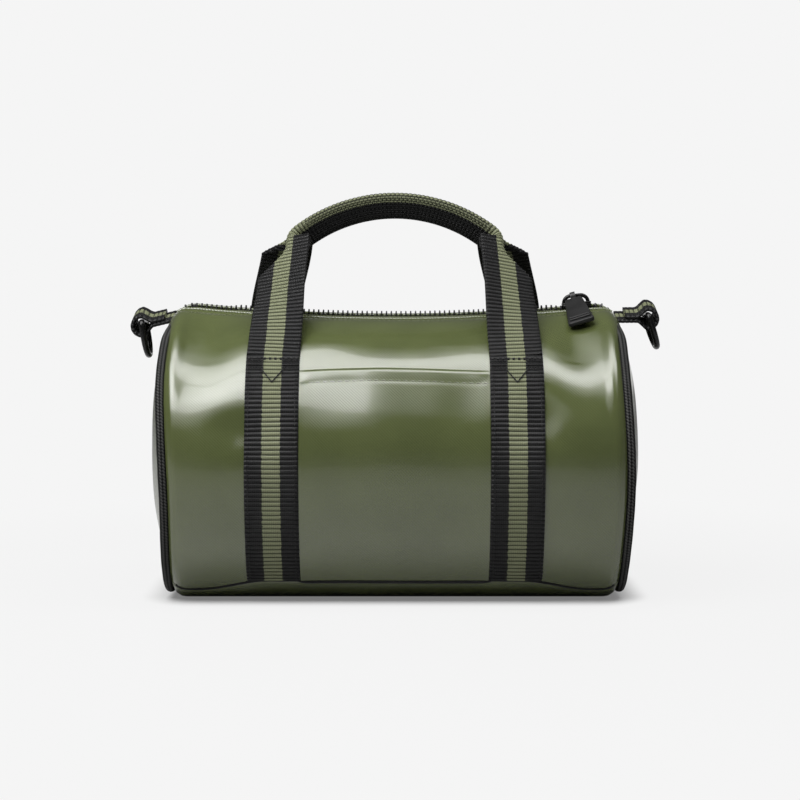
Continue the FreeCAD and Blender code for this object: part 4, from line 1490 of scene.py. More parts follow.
@dataclass
class ZipTop:
    """Panels above the fold, zip and slider."""

    finishes: Finishes
    panel: float = 1.0 * MM
    edge: float = 7.2 * MM
    edge_radius: float = 0.85 * MM
    edge_sunk: float = 0.45 * MM
    edge_share: float = 0.985
    lining_inset: float = 1.8 * MM
    lining_gap: float = 0.6 * MM
    lining: float = 0.4 * MM
    lining_edge: float = 9.5 * MM
    tape_inset: float = 1.9 * MM
    slider_sink: float = 0.5 * MM
    crown: float = 0.4 * MM
    tooth_crown: float = 0.6 * MM
    tape: float = 0.6 * MM
    tape_half: float = 15.0 * MM
    tape_edge: float = 1.6 * MM
    tape_share: float = 0.999
    rise_reach: Pair = (9 * MM, 4 * MM)
    rise_room: float = 6 * MM
    run_end: Pair = (83 * MM, 75 * MM)
    tooth_pitch: float = 2.4 * MM
    tooth_size: Vector = field(default_factory=lambda: Vector((1.4 * MM, 3.4 * MM, 4.4 * MM)))
    tooth_point: float = 0.42
    tooth_sunk: float = 0.1 * MM
    tooth_soft: float = 0.2 * MM
    row_drop: float = 1.6 * MM
    rear_height: float = 3.2 * MM
    chain_half: float = 104.5 * MM
    tooth_middle: float = 0.8 * MM
    stop_x: float = 98.8 * MM
    stop_size: Triple = (1.8 * MM, 2.4 * MM, 3.4 * MM)
    wide_stop_size: Triple = (1.8 * MM, 5.4 * MM, 3.4 * MM)
    stop_soft: float = 0.4 * MM
    slider_x: float = 90.0 * MM
    parting_lead: float = 3.0 * MM
    parting_length: float = 5.0 * MM
    parting_width: float = 2.2 * MM
    hold_x: float = 81.0 * MM
    free_x: float = 40.0 * MM
    stitch_rows: Pair = (9.6 * MM, 13.0 * MM)
    stitch_start: float = 0.5 * MM
    stitch_half: float = 100 * MM
    stitch_pitch: float = 2.6 * MM
    stitch_fill: float = 0.38
    stitch_lift: float = 0.12 * MM
    plates: tuple[Triple, ...] = ((-1, 2.7 * MM, 3.7 * MM), (1, 2.95 * MM, 3.95 * MM))
    flange_low: float = 1.15 * MM
    flange_lap: float = 0.1 * MM
    post_place: Triple = (4.2 * MM, 0.0, 0.1 * MM)
    post_size: Triple = (3.4 * MM, 1.8 * MM, 5.9 * MM)
    slider_soft: float = 0.35 * MM
    bail_wire: float = 0.95 * MM
    bail_top: float = 7.2 * MM
    bar_height: float = 7.1 * MM
    puller_slack: float = 0.8 * MM
    slope_room: float = 0.8 * MM + 1.2 * MM
    puller_roll: float = math.radians(-12.0)
    puller_press: float = 4.2

    def build(self) -> None:
        """Make and dress the top."""
        for side in Side:
            for end in End:
                self.top_panel(side, end)
                self.top_lining(side, end)
                self.tape_strip(side, end)
                self.rolled_edge(side, end)
                self.teeth(side, end)
                self.stitching(side, end)
        self.stops()
        self.slider()
        self.bail()
        self.puller()

    @staticmethod
    def half_range(end: End, half: float) -> Pair:
        """Left and right edge of one half of the top."""
        return (-half, 0.0) if end is End.LEFT else (0.0, half)

    @property
    def slider_level(self) -> float:
        """Height of the slider's middle over the crest."""
        return FORM.zip_lift - self.slider_sink - self.tape_inset - self.tape / 2

    def hang(self, made: Object, side: Side, end: End, slot: str, *nodes: str) -> None:
        """Bake a half's placement into its mesh, and hide the nodes that it stands for.

        Args:
            made: the piece.
            side: front or rear; not used.
            end: which half; not used.
            slot: its material slot; not used.
            nodes: what it stands for.
        """
        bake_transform(made)
        if nodes:
            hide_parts(*nodes)

    def top_panel(self, side: Side, end: End) -> None:
        """Half of one panel between the fold and the zip."""
        made = cloth_sheet(
            f"{side.word}_top_{end.word}", self.finishes.canvas, self.half_range(end, FORM.skin_end),
            lambda x: (FORM.fold_girth, FORM.zip_girth - self.edge), side, self.panel, step=1.6 * MM,
        )
        self.hang(made, side, end, "coated_canvas", f"{side.word}_mouth_panel")

    def top_lining(self, side: Side, end: End) -> None:
        """Half of one lining strip under the top panel."""
        made = cloth_sheet(
            f"{side.word}_top_lining_{end.word}", self.finishes.lining,
            self.half_range(end, FORM.crest_half),
            lambda x: (FORM.fold_girth, FORM.zip_girth - self.lining_edge), side, self.lining,
            lambda x, girth: -self.lining_inset - self.lining_gap, 4.0 * MM,
        )
        self.hang(made, side, end, "lining", f"{side.word}_mouth_lining")

    def aside(self, x: float) -> float:
        """How far the rows stand apart past the slider."""
        share = (x - self.slider_x + self.parting_lead) / self.parting_length
        return self.parting_width * min(1.0, max(0.0, share))

    def open_run(self, x: float) -> float:
        """Share of the zip's full height, which falls where the slider stops."""
        return smooth_step(*self.run_end, abs(x))

    def tape_point(self, x: float, reach: float, lift: float, side: Side) -> Vector:
        """Point over the zip tape.

        Args:
            x: place along the zip.
            reach: distance from the zip line.
            lift: height over the tape's top.
            side: front or rear.

        Returns:
            The point.
        """
        point, normal = FORM.section(x, FORM.zip_girth - reach)
        raised = (FORM.zip_lift + self.crown * self.open_run(x)) * smooth_step(*self.rise_reach, reach)
        raised *= FORM.near_end(x, self.rise_room)
        point = point + normal * (lift + raised - self.tape_inset - FORM.turned_in(x))
        point.x += FORM.end_shift(x, point.z)
        point.y *= -side.value
        return point

    def tape_strip(self, side: Side, end: End) -> None:
        """Half of one zip tape."""
        low, high = self.half_range(end, FORM.skin_end)

        def spot(p: float, q: float) -> Pair:
            x = mix(low, high, p if side is Side.FRONT else 1.0 - p) * self.tape_share
            return x, mix(self.tape_half, self.tape_edge + self.aside(x), q)

        mesh = mapped_grid(66, 10, lambda p, q: self.tape_point(*spot(p, q), 0.0, side), spot)
        mesh.normal_update()
        thicken(mesh, self.tape)
        made = piece(mesh, f"{side.word}_tape_{end.word}", self.finishes.tape)
        self.hang(made, side, end, "zip_tape", f"{side.word}_zip_tape", f"{end.word}_zip_tape")

    def rolled_edge(self, side: Side, end: End) -> None:
        """Rolled edge of half a top panel, along its zip tape."""
        low, high = self.half_range(end, FORM.skin_end)

        def path(share: float) -> Vector:
            x = mix(low, high, share) * self.edge_share
            return FORM.skin(x, FORM.zip_girth - self.edge, -self.edge_sunk, side)

        mesh = tube(path, Y_AXIS, self.edge_radius, 70, 10)
        made = piece(mesh, f"{side.word}_zip_edge_{end.word}", self.finishes.canvas)
        self.hang(made, side, end, "coated_canvas")

    def teeth(self, side: Side, end: End) -> None:
        """Half of one row of moulded teeth, set between those of the other row."""
        size = self.tooth_size.copy()
        if side is Side.REAR:
            size.z = self.rear_height
        reach = round(self.chain_half / self.tooth_pitch)
        mesh = new_mesh()
        for i in range(-reach, reach + 1):
            x = (i - 0.25 * side.value) * self.tooth_pitch
            if x * end.value < 0 or abs(x) > self.chain_half:
                continue
            block = bmesh.ops.create_cube(mesh, size=1.0)["verts"]
            for vert in block:
                if vert.co.z > 0:
                    vert.co.x *= self.tooth_point
            bmesh.ops.transform(mesh, matrix=self.tooth_frame(x, side, size), verts=block)
        round_off(mesh, self.tooth_soft, 1)
        made = piece(mesh, f"{side.word}_teeth_{end.word}", self.finishes.teeth)
        self.hang(made, side, end, "zip_teeth", f"{side.word}_zip_teeth", f"{end.word}_zip_teeth")

    def tooth_frame(self, x: float, side: Side, size: Vector) -> Matrix:
        """Placement of a tooth or stop on one tape's edge."""
        reach = self.tooth_middle + self.aside(x)
        drop = self.row_drop if side is Side.REAR else 0.0
        level = self.tooth_crown * self.open_run(x) - self.tooth_sunk - drop
        middle = self.tape_point(x, reach, level, side)
        ahead = self.tape_point(x + 1 * MM, reach, level, side)
        return frame_matrix(middle, ahead - middle, Z_AXIS, size)

    def stops(self) -> None:
        """Two top stops past the slider and one bottom stop across both tapes."""
        middle = self.tape_point(-self.stop_x, 0.0, -self.tape / 2, Side.FRONT)
        top = [self.tooth_frame(self.stop_x, side, Vector(self.stop_size)) for side in Side]
        bottom = [frame_matrix(middle, X_AXIS, Z_AXIS, Vector(self.wide_stop_size))]
        for name, node, places in (
            ("zip_end_stops", "zip_top_stops", top), ("zip_start_stop", "zip_bottom_stop", bottom),
        ):
            mesh = bmesh.new()
            for place in places:
                bmesh.ops.create_cube(mesh, size=1.0, matrix=place)
            round_off(mesh, self.stop_soft, 2)
            dress(piece(mesh, name, self.finishes.teeth), "bag_body", "zip_teeth", node)

    def stitching(self, side: Side, end: End) -> None:
        """Two rows of thread along one half of a panel's folded edge."""
        sewing = Seamster(self.finishes.olive_thread)
        for reach in self.stitch_rows:

            def line(share: float, girth: float = FORM.zip_girth - reach) -> Ray:
                x = end.value * mix(self.stitch_start, self.stitch_half, share)
                return FORM.skin(x, girth, self.stitch_lift, side), FORM.normal(x, girth, side)

            sewing.row(line, self.stitch_half, self.stitch_pitch, self.stitch_fill)
        self.hang(sewing.tie_off(f"{side.word}_zip_stitches_{end.word}"), side, end, "coated_canvas")

    @cached_property
    def slider_frame(self) -> Matrix:
        """Slider's own frame: on the tape, in line with the zip's slope."""
        climb = math.asin(self.slider_x / FORM.zip_radius)
        level = FORM.crest_height(self.slider_x) + self.slider_level
        return Matrix.Translation((self.slider_x, 0.0, level)) @ Matrix.Rotation(-climb, 4, "Y")

    def slider(self) -> None:
        """Cast slider: two flanged plates and the post between the rows."""
        mesh = new_mesh()
        for sign, low, high in self.plates:
            self.add_plate(mesh, sign, low, high, 0)
            for edge in (-1, 1):
                self.add_plate(mesh, sign, self.flange_low, low + self.flange_lap, edge)
        add_block(mesh, self.post_place, self.post_size)
        round_off(mesh, self.slider_soft, 2)
        move(mesh, self.slider_frame)
        made = piece(mesh, "zip_slider_body", self.finishes.metal)
        dress(made, "zip_slider", "black_metal", "zip_slider")

    @staticmethod
    def add_plate(mesh: Mesh, sign: int, low: float, high: float, edge: int) -> None:
        """Add a plate, or one flange, that widens along X.

        Args:
            mesh: the slider's mesh.
            sign: 1 for the upper plate, -1 for the lower.
            low: nearest height to the tape.
            high: furthest height.
            edge: 0 for the whole plate, else the side of the flange.
        """
        narrow, wide, flange, half = 3.6 * MM, 6.2 * MM, 0.9 * MM, 7.0 * MM
        for vert in bmesh.ops.create_cube(mesh, size=1.0)["verts"]:
            reach = narrow if vert.co.x < 0 else wide
            across = reach * (1 if vert.co.y > 0 else -1)
            if edge:
                across = edge * (reach if vert.co.y * edge > 0 else reach - flange)
            level = high if vert.co.z * sign > 0 else low
            vert.co = Vector(((half if vert.co.x > 0 else -half), across, sign * level))

    def bail(self) -> None:
        """Staple of wire over the slider."""
        half, foot, top, bend = 6.0 * MM, 3.3 * MM, self.bail_top, 3.6 * MM
        corner = Vector((half - bend, 0.0, top - bend))
        quarter = bend * math.pi / 2
        rise = top - bend - foot
        total = 2 * (rise + quarter + corner.x)

        def path(share: float) -> Vector:
            reach, mirror = half_way(share, total)
            if reach < rise:
                point = Vector((-half, 0.0, foot + reach))
            elif reach < rise + quarter:
                angle = (reach - rise) / bend
                point = Vector((-corner.x - bend * math.cos(angle), 0.0, corner.z + bend * math.sin(angle)))
            else:
                point = Vector((-corner.x + reach - rise - quarter, 0.0, top))
            if mirror:
                point.x = -point.x
            return point

        mesh = tube(path, Y_AXIS, self.bail_wire, 48, 14)
        move(mesh, self.slider_frame)
        made = piece(mesh, "slider_bail_wire", self.finishes.metal)
        dress(made, "zip_slider", "black_metal", "slider_bail")

    def puller(self) -> None:
        """The puller, hung from the bail and lying on the front slope."""
        mesh = PullTab().build()
        droop = Matrix.Rotation(math.radians(self.droop()), 4, "X")
        roll = Matrix.Rotation(self.puller_roll, 4, "Y")
        place = self.slider_frame @ Matrix.Translation((0.0, 0.0, self.bar_height)) @ droop @ roll
        move(mesh, place @ Matrix.Translation((0.0, -self.puller_slack, 0.0)))
        dress(piece(mesh, "zip_pull_tab", self.finishes.puller), "zip_puller", "puller", "zip_puller")

    def droop(self) -> float:
        """Degrees below level at which the puller lies along the front slope."""
        radius = FORM.crest_arc(0.0)[1]
        bar = radius + self.slider_level + self.bail_top
        return math.degrees(math.acos((radius + self.slope_room) / bar)) + self.puller_press


@dataclass(frozen=True)
class Webbing:
    """Ribbed webbing, built as a closed strip over any surface."""

    width: float = 25.0 * MM
    thickness: float = 1.4 * MM
    rib_pitch: float = 2.15 * MM
    rib_height: float = 0.30 * MM
    rib_power: float = 0.7
    across: int = 16
    per_rib: int = 6

    def outline(self) -> list[Pair]:
        """Section of the strip: place across and height, round the loop."""
        thick = self.thickness / 2
        soft = thick * 0.8
        span = self.width / 2 - soft
        top = [(mix(-span, span, i / self.across), thick) for i in range(self.across + 1)]
        right = [(span + soft * math.sin(a), thick * math.cos(a)) for a in (0.6, 1.2, 1.9, 2.5)]
        low = [(u, -h) for u, h in reversed(top)]
        left = [(-u, -h) for u, h in right]
        return top + right + low + left

    def strip(
        self,
        surface: Callable[[float, float, float], Vector],
        length: float,
        name: str,
        finish: Material,
        colour_scale: float = 1.0,
    ) -> Object:
        """Make a length of webbing.

        Args:
            surface: point for a length along, a place across and a height over the middle of the strip.
            length: length along.
            name: name of the piece.
            finish: its material.
            colour_scale: stretches the stripes across, for narrower webbing.

        Returns:
            The object.
        """
        outline = self.outline()
        count = len(outline)
        rows = max(4, round(length / self.rib_pitch * self.per_rib))

        def spot(p: float) -> Pair:
            return outline[round(p * count) % count]

        def place(p: float, q: float) -> Vector:
            across, height = spot(p)
            along = q * length
            rib = abs(math.sin(math.pi * along / self.rib_pitch)) ** self.rib_power
            swell = (rib - 0.5) * self.rib_height * (height / self.thickness * 2)
            return surface(along, across, height + swell)

        def uv(p: float, q: float) -> Pair:
            return spot(p)[0] * colour_scale, q * length

        mesh = mapped_grid(count, rows, place, uv, wrap=True)
        close_ends(mesh)
        return piece(mesh, name, finish)


@dataclass(frozen=True)
class HandleShape:
    """What differs between the front and the rear handle."""

    fold: Pair
    bow: float
    yaw: float
    lean: float


HANDLES = {
    Side.FRONT: HandleShape((47.0 * MM, 69.0 * MM), 0.0, 0.42, 0.3),
    Side.REAR: HandleShape((59.0 * MM, 78.0 * MM), 6.4 * MM, -0.28, -0.3),
}


@dataclass
class CarryHandles:
    """Four straps sewn to the barrel and the two handles that they run on into."""

    finishes: Finishes
    webbing: Webbing = field(default_factory=Webbing)
    strap_x: float = 57.0 * MM
    seat: float = 0.1 * MM
    grip_plane: float = 2.7 * MM
    grip_radius: float = 82.8 * MM
    grip_top: float = 195.4 * MM
    corner_x: float = 52.9 * MM
    corner_ease: float = 5.0 * MM
    corner_steps: int = 20
    bend: float = 0.95 * MM
    start_gap: float = 0.9 * MM
    strap_gap: float = 0.2 * MM
    yaw_run: Pair = (4 * MM, 48 * MM)
    bow_start: Pair = (0.0, 24 * MM)
    bow_end: Pair = (78 * MM, 22 * MM)
    foot_run: Pair = (14 * MM, 0.0)
    flat_gap: float = 0.3 * MM
    thread_lift: float = 0.4 * MM
    edge_thread: Pair = (0.25 * MM, 0.2 * MM)
    cross_thread: Pair = (0.35 * MM, 0.28 * MM)
    point_thread: Pair = (0.42 * MM, 0.32 * MM)
    bar_thread: Pair = (0.75 * MM, 0.5 * MM)
    cross_rows: tuple[float, ...] = (2.8, 4.1, 5.4, 6.7, 8.0)

    def build(self) -> None:
        """Make straps and handles, and make and dress their stitching."""
        for side in Side:
            for end in End:
                self.strap(side, end)
            self.handle(side)
            self.stitches(side)

    def strap_point(self, x: float, girth: float, height: float, side: Side) -> Vector:
        """Point over the middle of a sewn strap."""
        return FORM.skin(x, girth, self.seat + self.webbing.thickness / 2 + height, side)

    def strap(self, side: Side, end: End) -> None:
        """One strap from the base seam to the fold."""
        middle = end.value * self.strap_x
        start = FORM.seam_girth(middle) + self.strap_gap
        length = FORM.fold_girth + self.start_gap - start
        made = self.webbing.strip(
            lambda along, across, height: self.strap_point(middle + across, start + along, height, side),
            length, f"{side.word}_{end.word}_webbing", self.finishes.webbing,
        )
        low = FORM.section(0.0, FORM.fold_girth - 2.5 * MM)[0]
        high = FORM.section(0.0, FORM.fold_girth + 0.6 * MM)[0]
        for point in (low, high):
            point.y *= -side.value
        tuple(low)
        tuple(high)
        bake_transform(made)
        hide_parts(f"{side.word}_{end.word}_strap")

    @cached_property
    def foot(self) -> Vector:
        """Where the left front leg leaves the fold, under its front layer."""
        point, normal = FORM.section(-self.strap_x, FORM.fold_girth)
        return point + normal * (self.seat + self.webbing.thickness / 2 - self.bend)

    @cached_property
    def foot_normal(self) -> Vector:
        """Normal of the plain form at the front fold."""
        return FORM.section(0.0, FORM.fold_girth)[1]

    @cached_property
    def foot_rises(self) -> dict[tuple[Side, bool], float]:
        """How far the draped skin stands off the plain form under each foot."""
        return {
            (side, end is End.RIGHT): FORM.drape(end.value * self.strap_x, FORM.fold_girth, side)
            for side in Side
            for end in End
        }

    @cached_property
    def corner_angle(self) -> float:
        """Angle of the grip's corner from the top."""
        return math.asin(self.corner_x / self.grip_radius)

    @cached_property
    def grip_start(self) -> float:
        """Angle from the top at which the left half of the grip starts."""
        return -self.corner_angle + self.corner_ease / self.grip_radius

    def arc_point(self, angle: float) -> Ray:
        """Point and tangent of the grip's ridge, at an angle from the top."""
        centre = Vector((0.0, -self.grip_plane, self.grip_top - self.grip_radius))
        point = centre + Vector((math.sin(angle), 0.0, math.cos(angle))) * self.grip_radius
        return point, Vector((math.cos(angle), 0.0, -math.sin(angle)))

    @cached_property
    def leg(self) -> tuple[Vector, float]:
        """Direction and length of the left leg up to the corner."""
        reach = self.arc_point(-self.corner_angle)[0] - self.foot
        return reach.normalized(), reach.length

    @cached_property
    def turn_length(self) -> float:
        """Length of the eased corner."""
        steps = self.corner_steps
        points = [self.turn_point(i / steps) for i in range(steps + 1)]
        return sum((points[i + 1] - points[i]).length for i in range(steps))

    def turn_point(self, share: float) -> Vector:
        """Point of the eased corner between leg and grip."""
        direction, reach = self.leg
        start = self.foot + direction * (reach - self.corner_ease)
        corner = self.arc_point(-self.corner_angle)[0]
        end = self.arc_point(self.grip_start)[0]
        return start.lerp(corner, share).lerp(corner.lerp(end, share), share)

    @cached_property
    def half_length(self) -> float:
        """Length from a foot to the top of the grip."""
        arc = self.grip_radius * self.corner_angle - self.corner_ease
        return self.leg[1] - self.corner_ease + self.turn_length + arc

    def half_frame(self, along: float, side: Side) -> tuple[Vector, Vector, Vector, float]:
        """Left half of the handle.

        Args:
            along: length from the left foot.
            side: front or rear.

        Returns:
            Point of the middle line, direction across, normal, and where the webbing folds.
        """
        shape = HANDLES[side]
        direction, reach = self.leg
        straight = reach - self.corner_ease
        yaw = shape.yaw * smooth_step(*self.yaw_run, along)
        sideways = Vector((math.cos(yaw), -math.sin(yaw), 0.0))

        def inside(angle: float) -> Vector:
            return Vector((-math.sin(angle), math.tan(shape.lean), -math.cos(angle)))

        if along <= straight:
            point = self.foot + direction * along
            tangent = direction
            raw = sideways
        elif along <= straight + self.turn_length:
            share = (along - straight) / self.turn_length
            point = self.turn_point(share)
            step = 0.02
            ahead, behind = self.turn_point(min(1.0, share + step)), self.turn_point(max(0.0, share - step))
            tangent = (ahead - behind).normalized()
            raw = sideways.lerp(inside(self.grip_start), smooth_step(0.0, 1.0, share))
        else:
            past = along - straight - self.turn_length
            angle = self.grip_start + past / self.grip_radius
            point, tangent = self.arc_point(angle)
            raw = inside(angle)
        across = (raw - tangent * raw.dot(tangent)).normalized()
        flat = -self.webbing.width / 2 - self.flat_gap
        fold = mix(flat, math.pi * self.bend / 2, smooth_step(*shape.fold, along))
        return point, across, across.cross(tangent), fold

    def handle_point(self, along: float, across: float, height: float, side: Side) -> Vector:
        """Point of a handle's webbing, folded double along the grip.

        Args:
            along: length from the left foot.
            across: place across, positive towards the inside of the loop.
            height: height over the middle of the webbing.
            side: front or rear.

        Returns:
            The point.
        """
        right = along > self.half_length
        off = 2 * self.half_length - along if right else along
        point, inward, normal, fold = self.half_frame(off, side)
        past = fold - across
        half_turn = math.pi * self.bend
        reach = self.bend + height
        if past <= 0:
            made = point + inward * across + normal * reach
        elif past < half_turn:
            angle = past / self.bend
            made = point + inward * (fold - reach * math.sin(angle)) + normal * (reach * math.cos(angle))
        else:
            made = point + inward * (fold + past - half_turn) - normal * reach
        made.x -= HANDLES[side].bow * smooth_step(*self.bow_start, off) * smooth_step(*self.bow_end, off)
        made += self.foot_normal * self.foot_rises[side, right] * smooth_step(*self.foot_run, off)
        if right:
            made.x = -made.x
        made.y *= -side.value
        return made

    def handle(self, side: Side) -> None:
        """One handle, from fold to fold."""
        length = 2 * (self.half_length - self.start_gap)
        made = self.webbing.strip(
            lambda along, across, height: self.handle_point(along + self.start_gap, across, height, side),
            length, f"{side.word}_handle_webbing", self.finishes.grip_webbing,
        )
        direction = Vector((0.0, -side.value * self.leg[0].y, self.leg[0].z))
        foot = Vector((0.0, side.value * abs(self.foot.y), self.foot.z))
        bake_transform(made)
        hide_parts(f"{side.word}_handle")

    def stitches(self, side: Side) -> None:
        """Edge rows, cross rows and the point of thread at the top of each strap."""
        sewing = Seamster(self.finishes.black_thread)
        half = self.webbing.width / 2
        top = FORM.fold_girth
        lift = self.webbing.thickness / 2 + self.thread_lift

        def sew(start: Pair, finish: Pair, length: float, pitch: float, fill: float, thread: Pair) -> None:
            """Sew a straight row between two places, each an x and a girth."""

            def line(share: float) -> Ray:
                x, girth = mix(start[0], finish[0], share), mix(start[1], finish[1], share)
                return self.strap_point(x, girth, lift, side), FORM.normal(x, girth, side)

            sewing.row(line, length, pitch, fill, thread)

        for end in End:
            middle = end.value * self.strap_x
            low = FORM.seam_girth(middle)
            for edge in (-1, 1):
                x = middle + edge * (half - 1.6 * MM)
                sew((x, low + 2 * MM), (x, top - 4 * MM), top - low, 2.15 * MM, 0.3, self.edge_thread)
                x = middle + edge * 4.6 * MM
                sew((x, top - 2.0 * MM), (x, top - 9.0 * MM), 7.0 * MM, 1.4 * MM, 0.6, self.point_thread)
                tip = (middle, top - 14.8 * MM)
                sew((x, top - 8.6 * MM), tip, 7.7 * MM, 1.3 * MM, 0.65, self.point_thread)
            for row, down in enumerate(self.cross_rows):
                girth = top - down * MM
                for edge in (-1, 1):
                    near = (middle + edge * 4.4 * MM, girth)
                    far = (middle + edge * (half - 0.6 * MM), girth)
                    sew(near, far, 8.0 * MM, 1.35 * MM, 0.42, self.cross_thread)
                if row == 0:
                    girth = top - 1.7 * MM
                    bar = (middle - half, girth), (middle + half, girth)
                    sew(*bar, 2 * half, 2.6 * MM, 0.33, self.bar_thread)
        dress(sewing.tie_off(f"{side.word}_strap_stitches"), "bag_body", "webbing")


@dataclass
class StrapRings:
    """Tab and ring at each end, for a shoulder strap."""

    finishes: Finishes
    bar_x: float = 124.55 * MM
    bar_heights: dict[End, float] = field(
        default_factory=lambda: {End.LEFT: 132.0 * MM, End.RIGHT: 135.5 * MM}
    )
    tilts: dict[End, float] = field(default_factory=lambda: {End.LEFT: 9.0, End.RIGHT: 18.0})
    wire: float = 1.5 * MM
    inner_width: float = 16.0 * MM
    depth: float = 16.5 * MM
    corner: float = 2.2 * MM
    tab: Webbing = Webbing(15.0 * MM, 1.8 * MM, rib_height=0.12 * MM, across=14)
    stripe_scale: float = 25.0 / 15.0
    loop_inner: float = 3.8 * MM
    root_length: float = 1.5 * MM
    tail_gap: float = 3.0 * MM
    roll: float = math.radians(16.0)
    root_x: float = 110.5 * MM
    root_z: float = 135.4 * MM

    def build(self) -> None:
        """Make and dress both ends."""
        for end in End:
            self.ring(end)
            self.ring_tab(end)

    def ring_point(self, share: float) -> Vector:
        """Point of the ring's wire before it is hung; the bar is at the top, along Y."""
        half = self.inner_width / 2 + self.wire
        turn = half - self.corner
        quarter = self.corner * math.pi / 2
        leg = self.depth - half - self.corner
        bow = half * math.pi / 2
        reach, mirror = half_way(share % 1.0, 2 * (turn + quarter + leg + bow))
        if reach < turn:
            point = Vector((0.0, reach, 0.0))
        elif reach < turn + quarter:
            angle = (reach - turn) / self.corner
            point = Vector((0.0, turn + self.corner * math.sin(angle), self.corner * (math.cos(angle) - 1)))
        elif reach < turn + quarter + leg:
            point = Vector((0.0, half, -self.corner - (reach - turn - quarter)))
        else:
            angle = (reach - turn - quarter - leg) / half
            point = Vector((0.0, half * math.cos(angle), half - self.depth - half * math.sin(angle)))
        if mirror:
            point.y = -point.y
        return point

    def ring(self, end: End) -> None:
        """One wire ring, hanging a little off plumb."""
        mesh = tube(self.ring_point, X_AXIS, self.wire, 120, 16, closed=True)
        hang = Matrix.Translation((end.value * self.bar_x, 0.0, self.bar_heights[end]))
        move(mesh, hang @ Matrix.Rotation(math.radians(-self.tilts[end]), 4, "Y"))
        made = piece(mesh, f"{end.word}_strap_ring", self.finishes.metal)
        dress(made, f"{end.word}_ring", "black_metal", f"{end.word}_d_ring")

    def tab_path(self, end: End) -> tuple[Callable[[float], Ray], float]:
        """Middle line of one tab's webbing, drawn at the right end.

        Returns:
            Point and outward normal by length along, and the whole length.
        """
        bar = Vector((self.bar_x, 0.0, self.bar_heights[end]))
        root = Vector((self.root_x, 0.0, self.root_z))
        radius = self.loop_inner + self.tab.thickness / 2
        axis = (bar - root).normalized()
        rise = Vector((-axis.z, 0.0, axis.x))
        reach = (bar - root).length
        first = reach + self.root_length
        bow = math.pi * radius
        last = reach - self.tail_gap

        def spread(span: float) -> float:
            return mix(0.52 * self.tab.thickness, radius, smooth_step(0.6 * reach, reach, span))

        def path(along: float) -> Ray:
            if along < first:
                span = along - self.root_length
                return root + axis * span - rise * spread(span), -rise
            if along < first + bow:
                angle = (along - first) / radius
                out = axis * math.sin(angle) - rise * math.cos(angle)
                return bar + out * radius, out
            span = reach - (along - first - bow)
            return root + axis * span + rise * spread(span), rise

        return path, first + bow + last

    def ring_tab(self, end: End) -> None:
        """Webbing doubled round the ring's bar, rolled a little across."""
        path, length = self.tab_path(end)

        def surface(along: float, across: float, height: float) -> Vector:
            point, normal = path(along)
            made = point + normal * height
            return Vector((end.value * made.x, across, made.z + across * math.tan(self.roll)))

        name = f"{end.word}_tab_webbing"
        made = self.tab.strip(surface, length, name, self.finishes.webbing, self.stripe_scale)
        dress(made, "bag_body", "webbing", f"{end.word}_ring_tab")


@dataclass
class Interior:
    """Lining and loose base board."""

    finishes: Finishes
    inset: float = 2.4 * MM
    end_inset: float = 0.6 * MM
    end_gap: float = 0.3 * MM
    middle_height: float = 70 * MM
    notch_height: float = 134.0 * MM
    hollow_room: float = 4.2 * MM
    hollow_run: Pair = (78 * MM, 102 * MM)
    lining: float = 0.4 * MM
    board_corner: float = 12 * MM
    board_rim: float = 0.3 * MM

    def build(self) -> None:
        """Make and dress the inside."""
        self.cradle()
        for end in End:
            self.end_lining(end)
        self.base_board()

    def cradle(self) -> None:
        """Lining of base and sides."""

        def place(p: float, q: float) -> Vector:
            x = mix(-FORM.crest_half, FORM.crest_half, p)
            return FORM.round_base(x, mix(FORM.fold_girth, -FORM.fold_girth, q), -self.inset)

        mesh = mapped_grid(60, 90, place, lambda p, q: (p * 2 * FORM.crest_half, q * 2 * FORM.fold_girth))
        face_out(mesh, -Z_AXIS)
        thicken(mesh, self.lining)
        dress(piece(mesh, "barrel_lining", self.finishes.lining), "bag_body", "lining", "lining_body")

    def end_lining(self, end: End) -> None:
        """Round lining of one end, under the notch of the zip and clear of the hollows."""
        x = end.value * (FORM.crest_half + self.end_gap)
        middle = Vector((x, 0.0, self.middle_height))

        def place(p: float, q: float) -> Vector:
            edge = FORM.loop(p, self.inset + self.end_inset, x)[0]
            room = self.hollow_room * smooth_step(*self.hollow_run, edge.z)
            edge = middle + (edge - middle) * (1.0 - room / (edge - middle).length)
            edge.z = min(edge.z, self.notch_height)
            return middle + (edge - middle) * q

        mesh = mapped_grid(90, 12, place, lambda p, q: tuple(place(p, q).yz), wrap=True)
        face_out(mesh)
        thicken(mesh, self.lining)
        made = piece(mesh, f"{end.word}_end_lining", self.finishes.lining)
        dress(made, "bag_body", "lining", f"lining_{end.word}_end")

    def base_board(self) -> None:
        """Stiff board with round corners and soft edges."""
        low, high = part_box("base_board")
        mesh = new_mesh()
        add_block(mesh, (low + high) / 2, high - low)
        bevel(mesh, level_edges(mesh, False), self.board_corner, 8)
        bevel(mesh, level_edges(mesh, True), self.board_rim, 2)
        dress(piece(mesh, "loose_base_board", self.finishes.board), "bag_body", "base_board", "base_board")


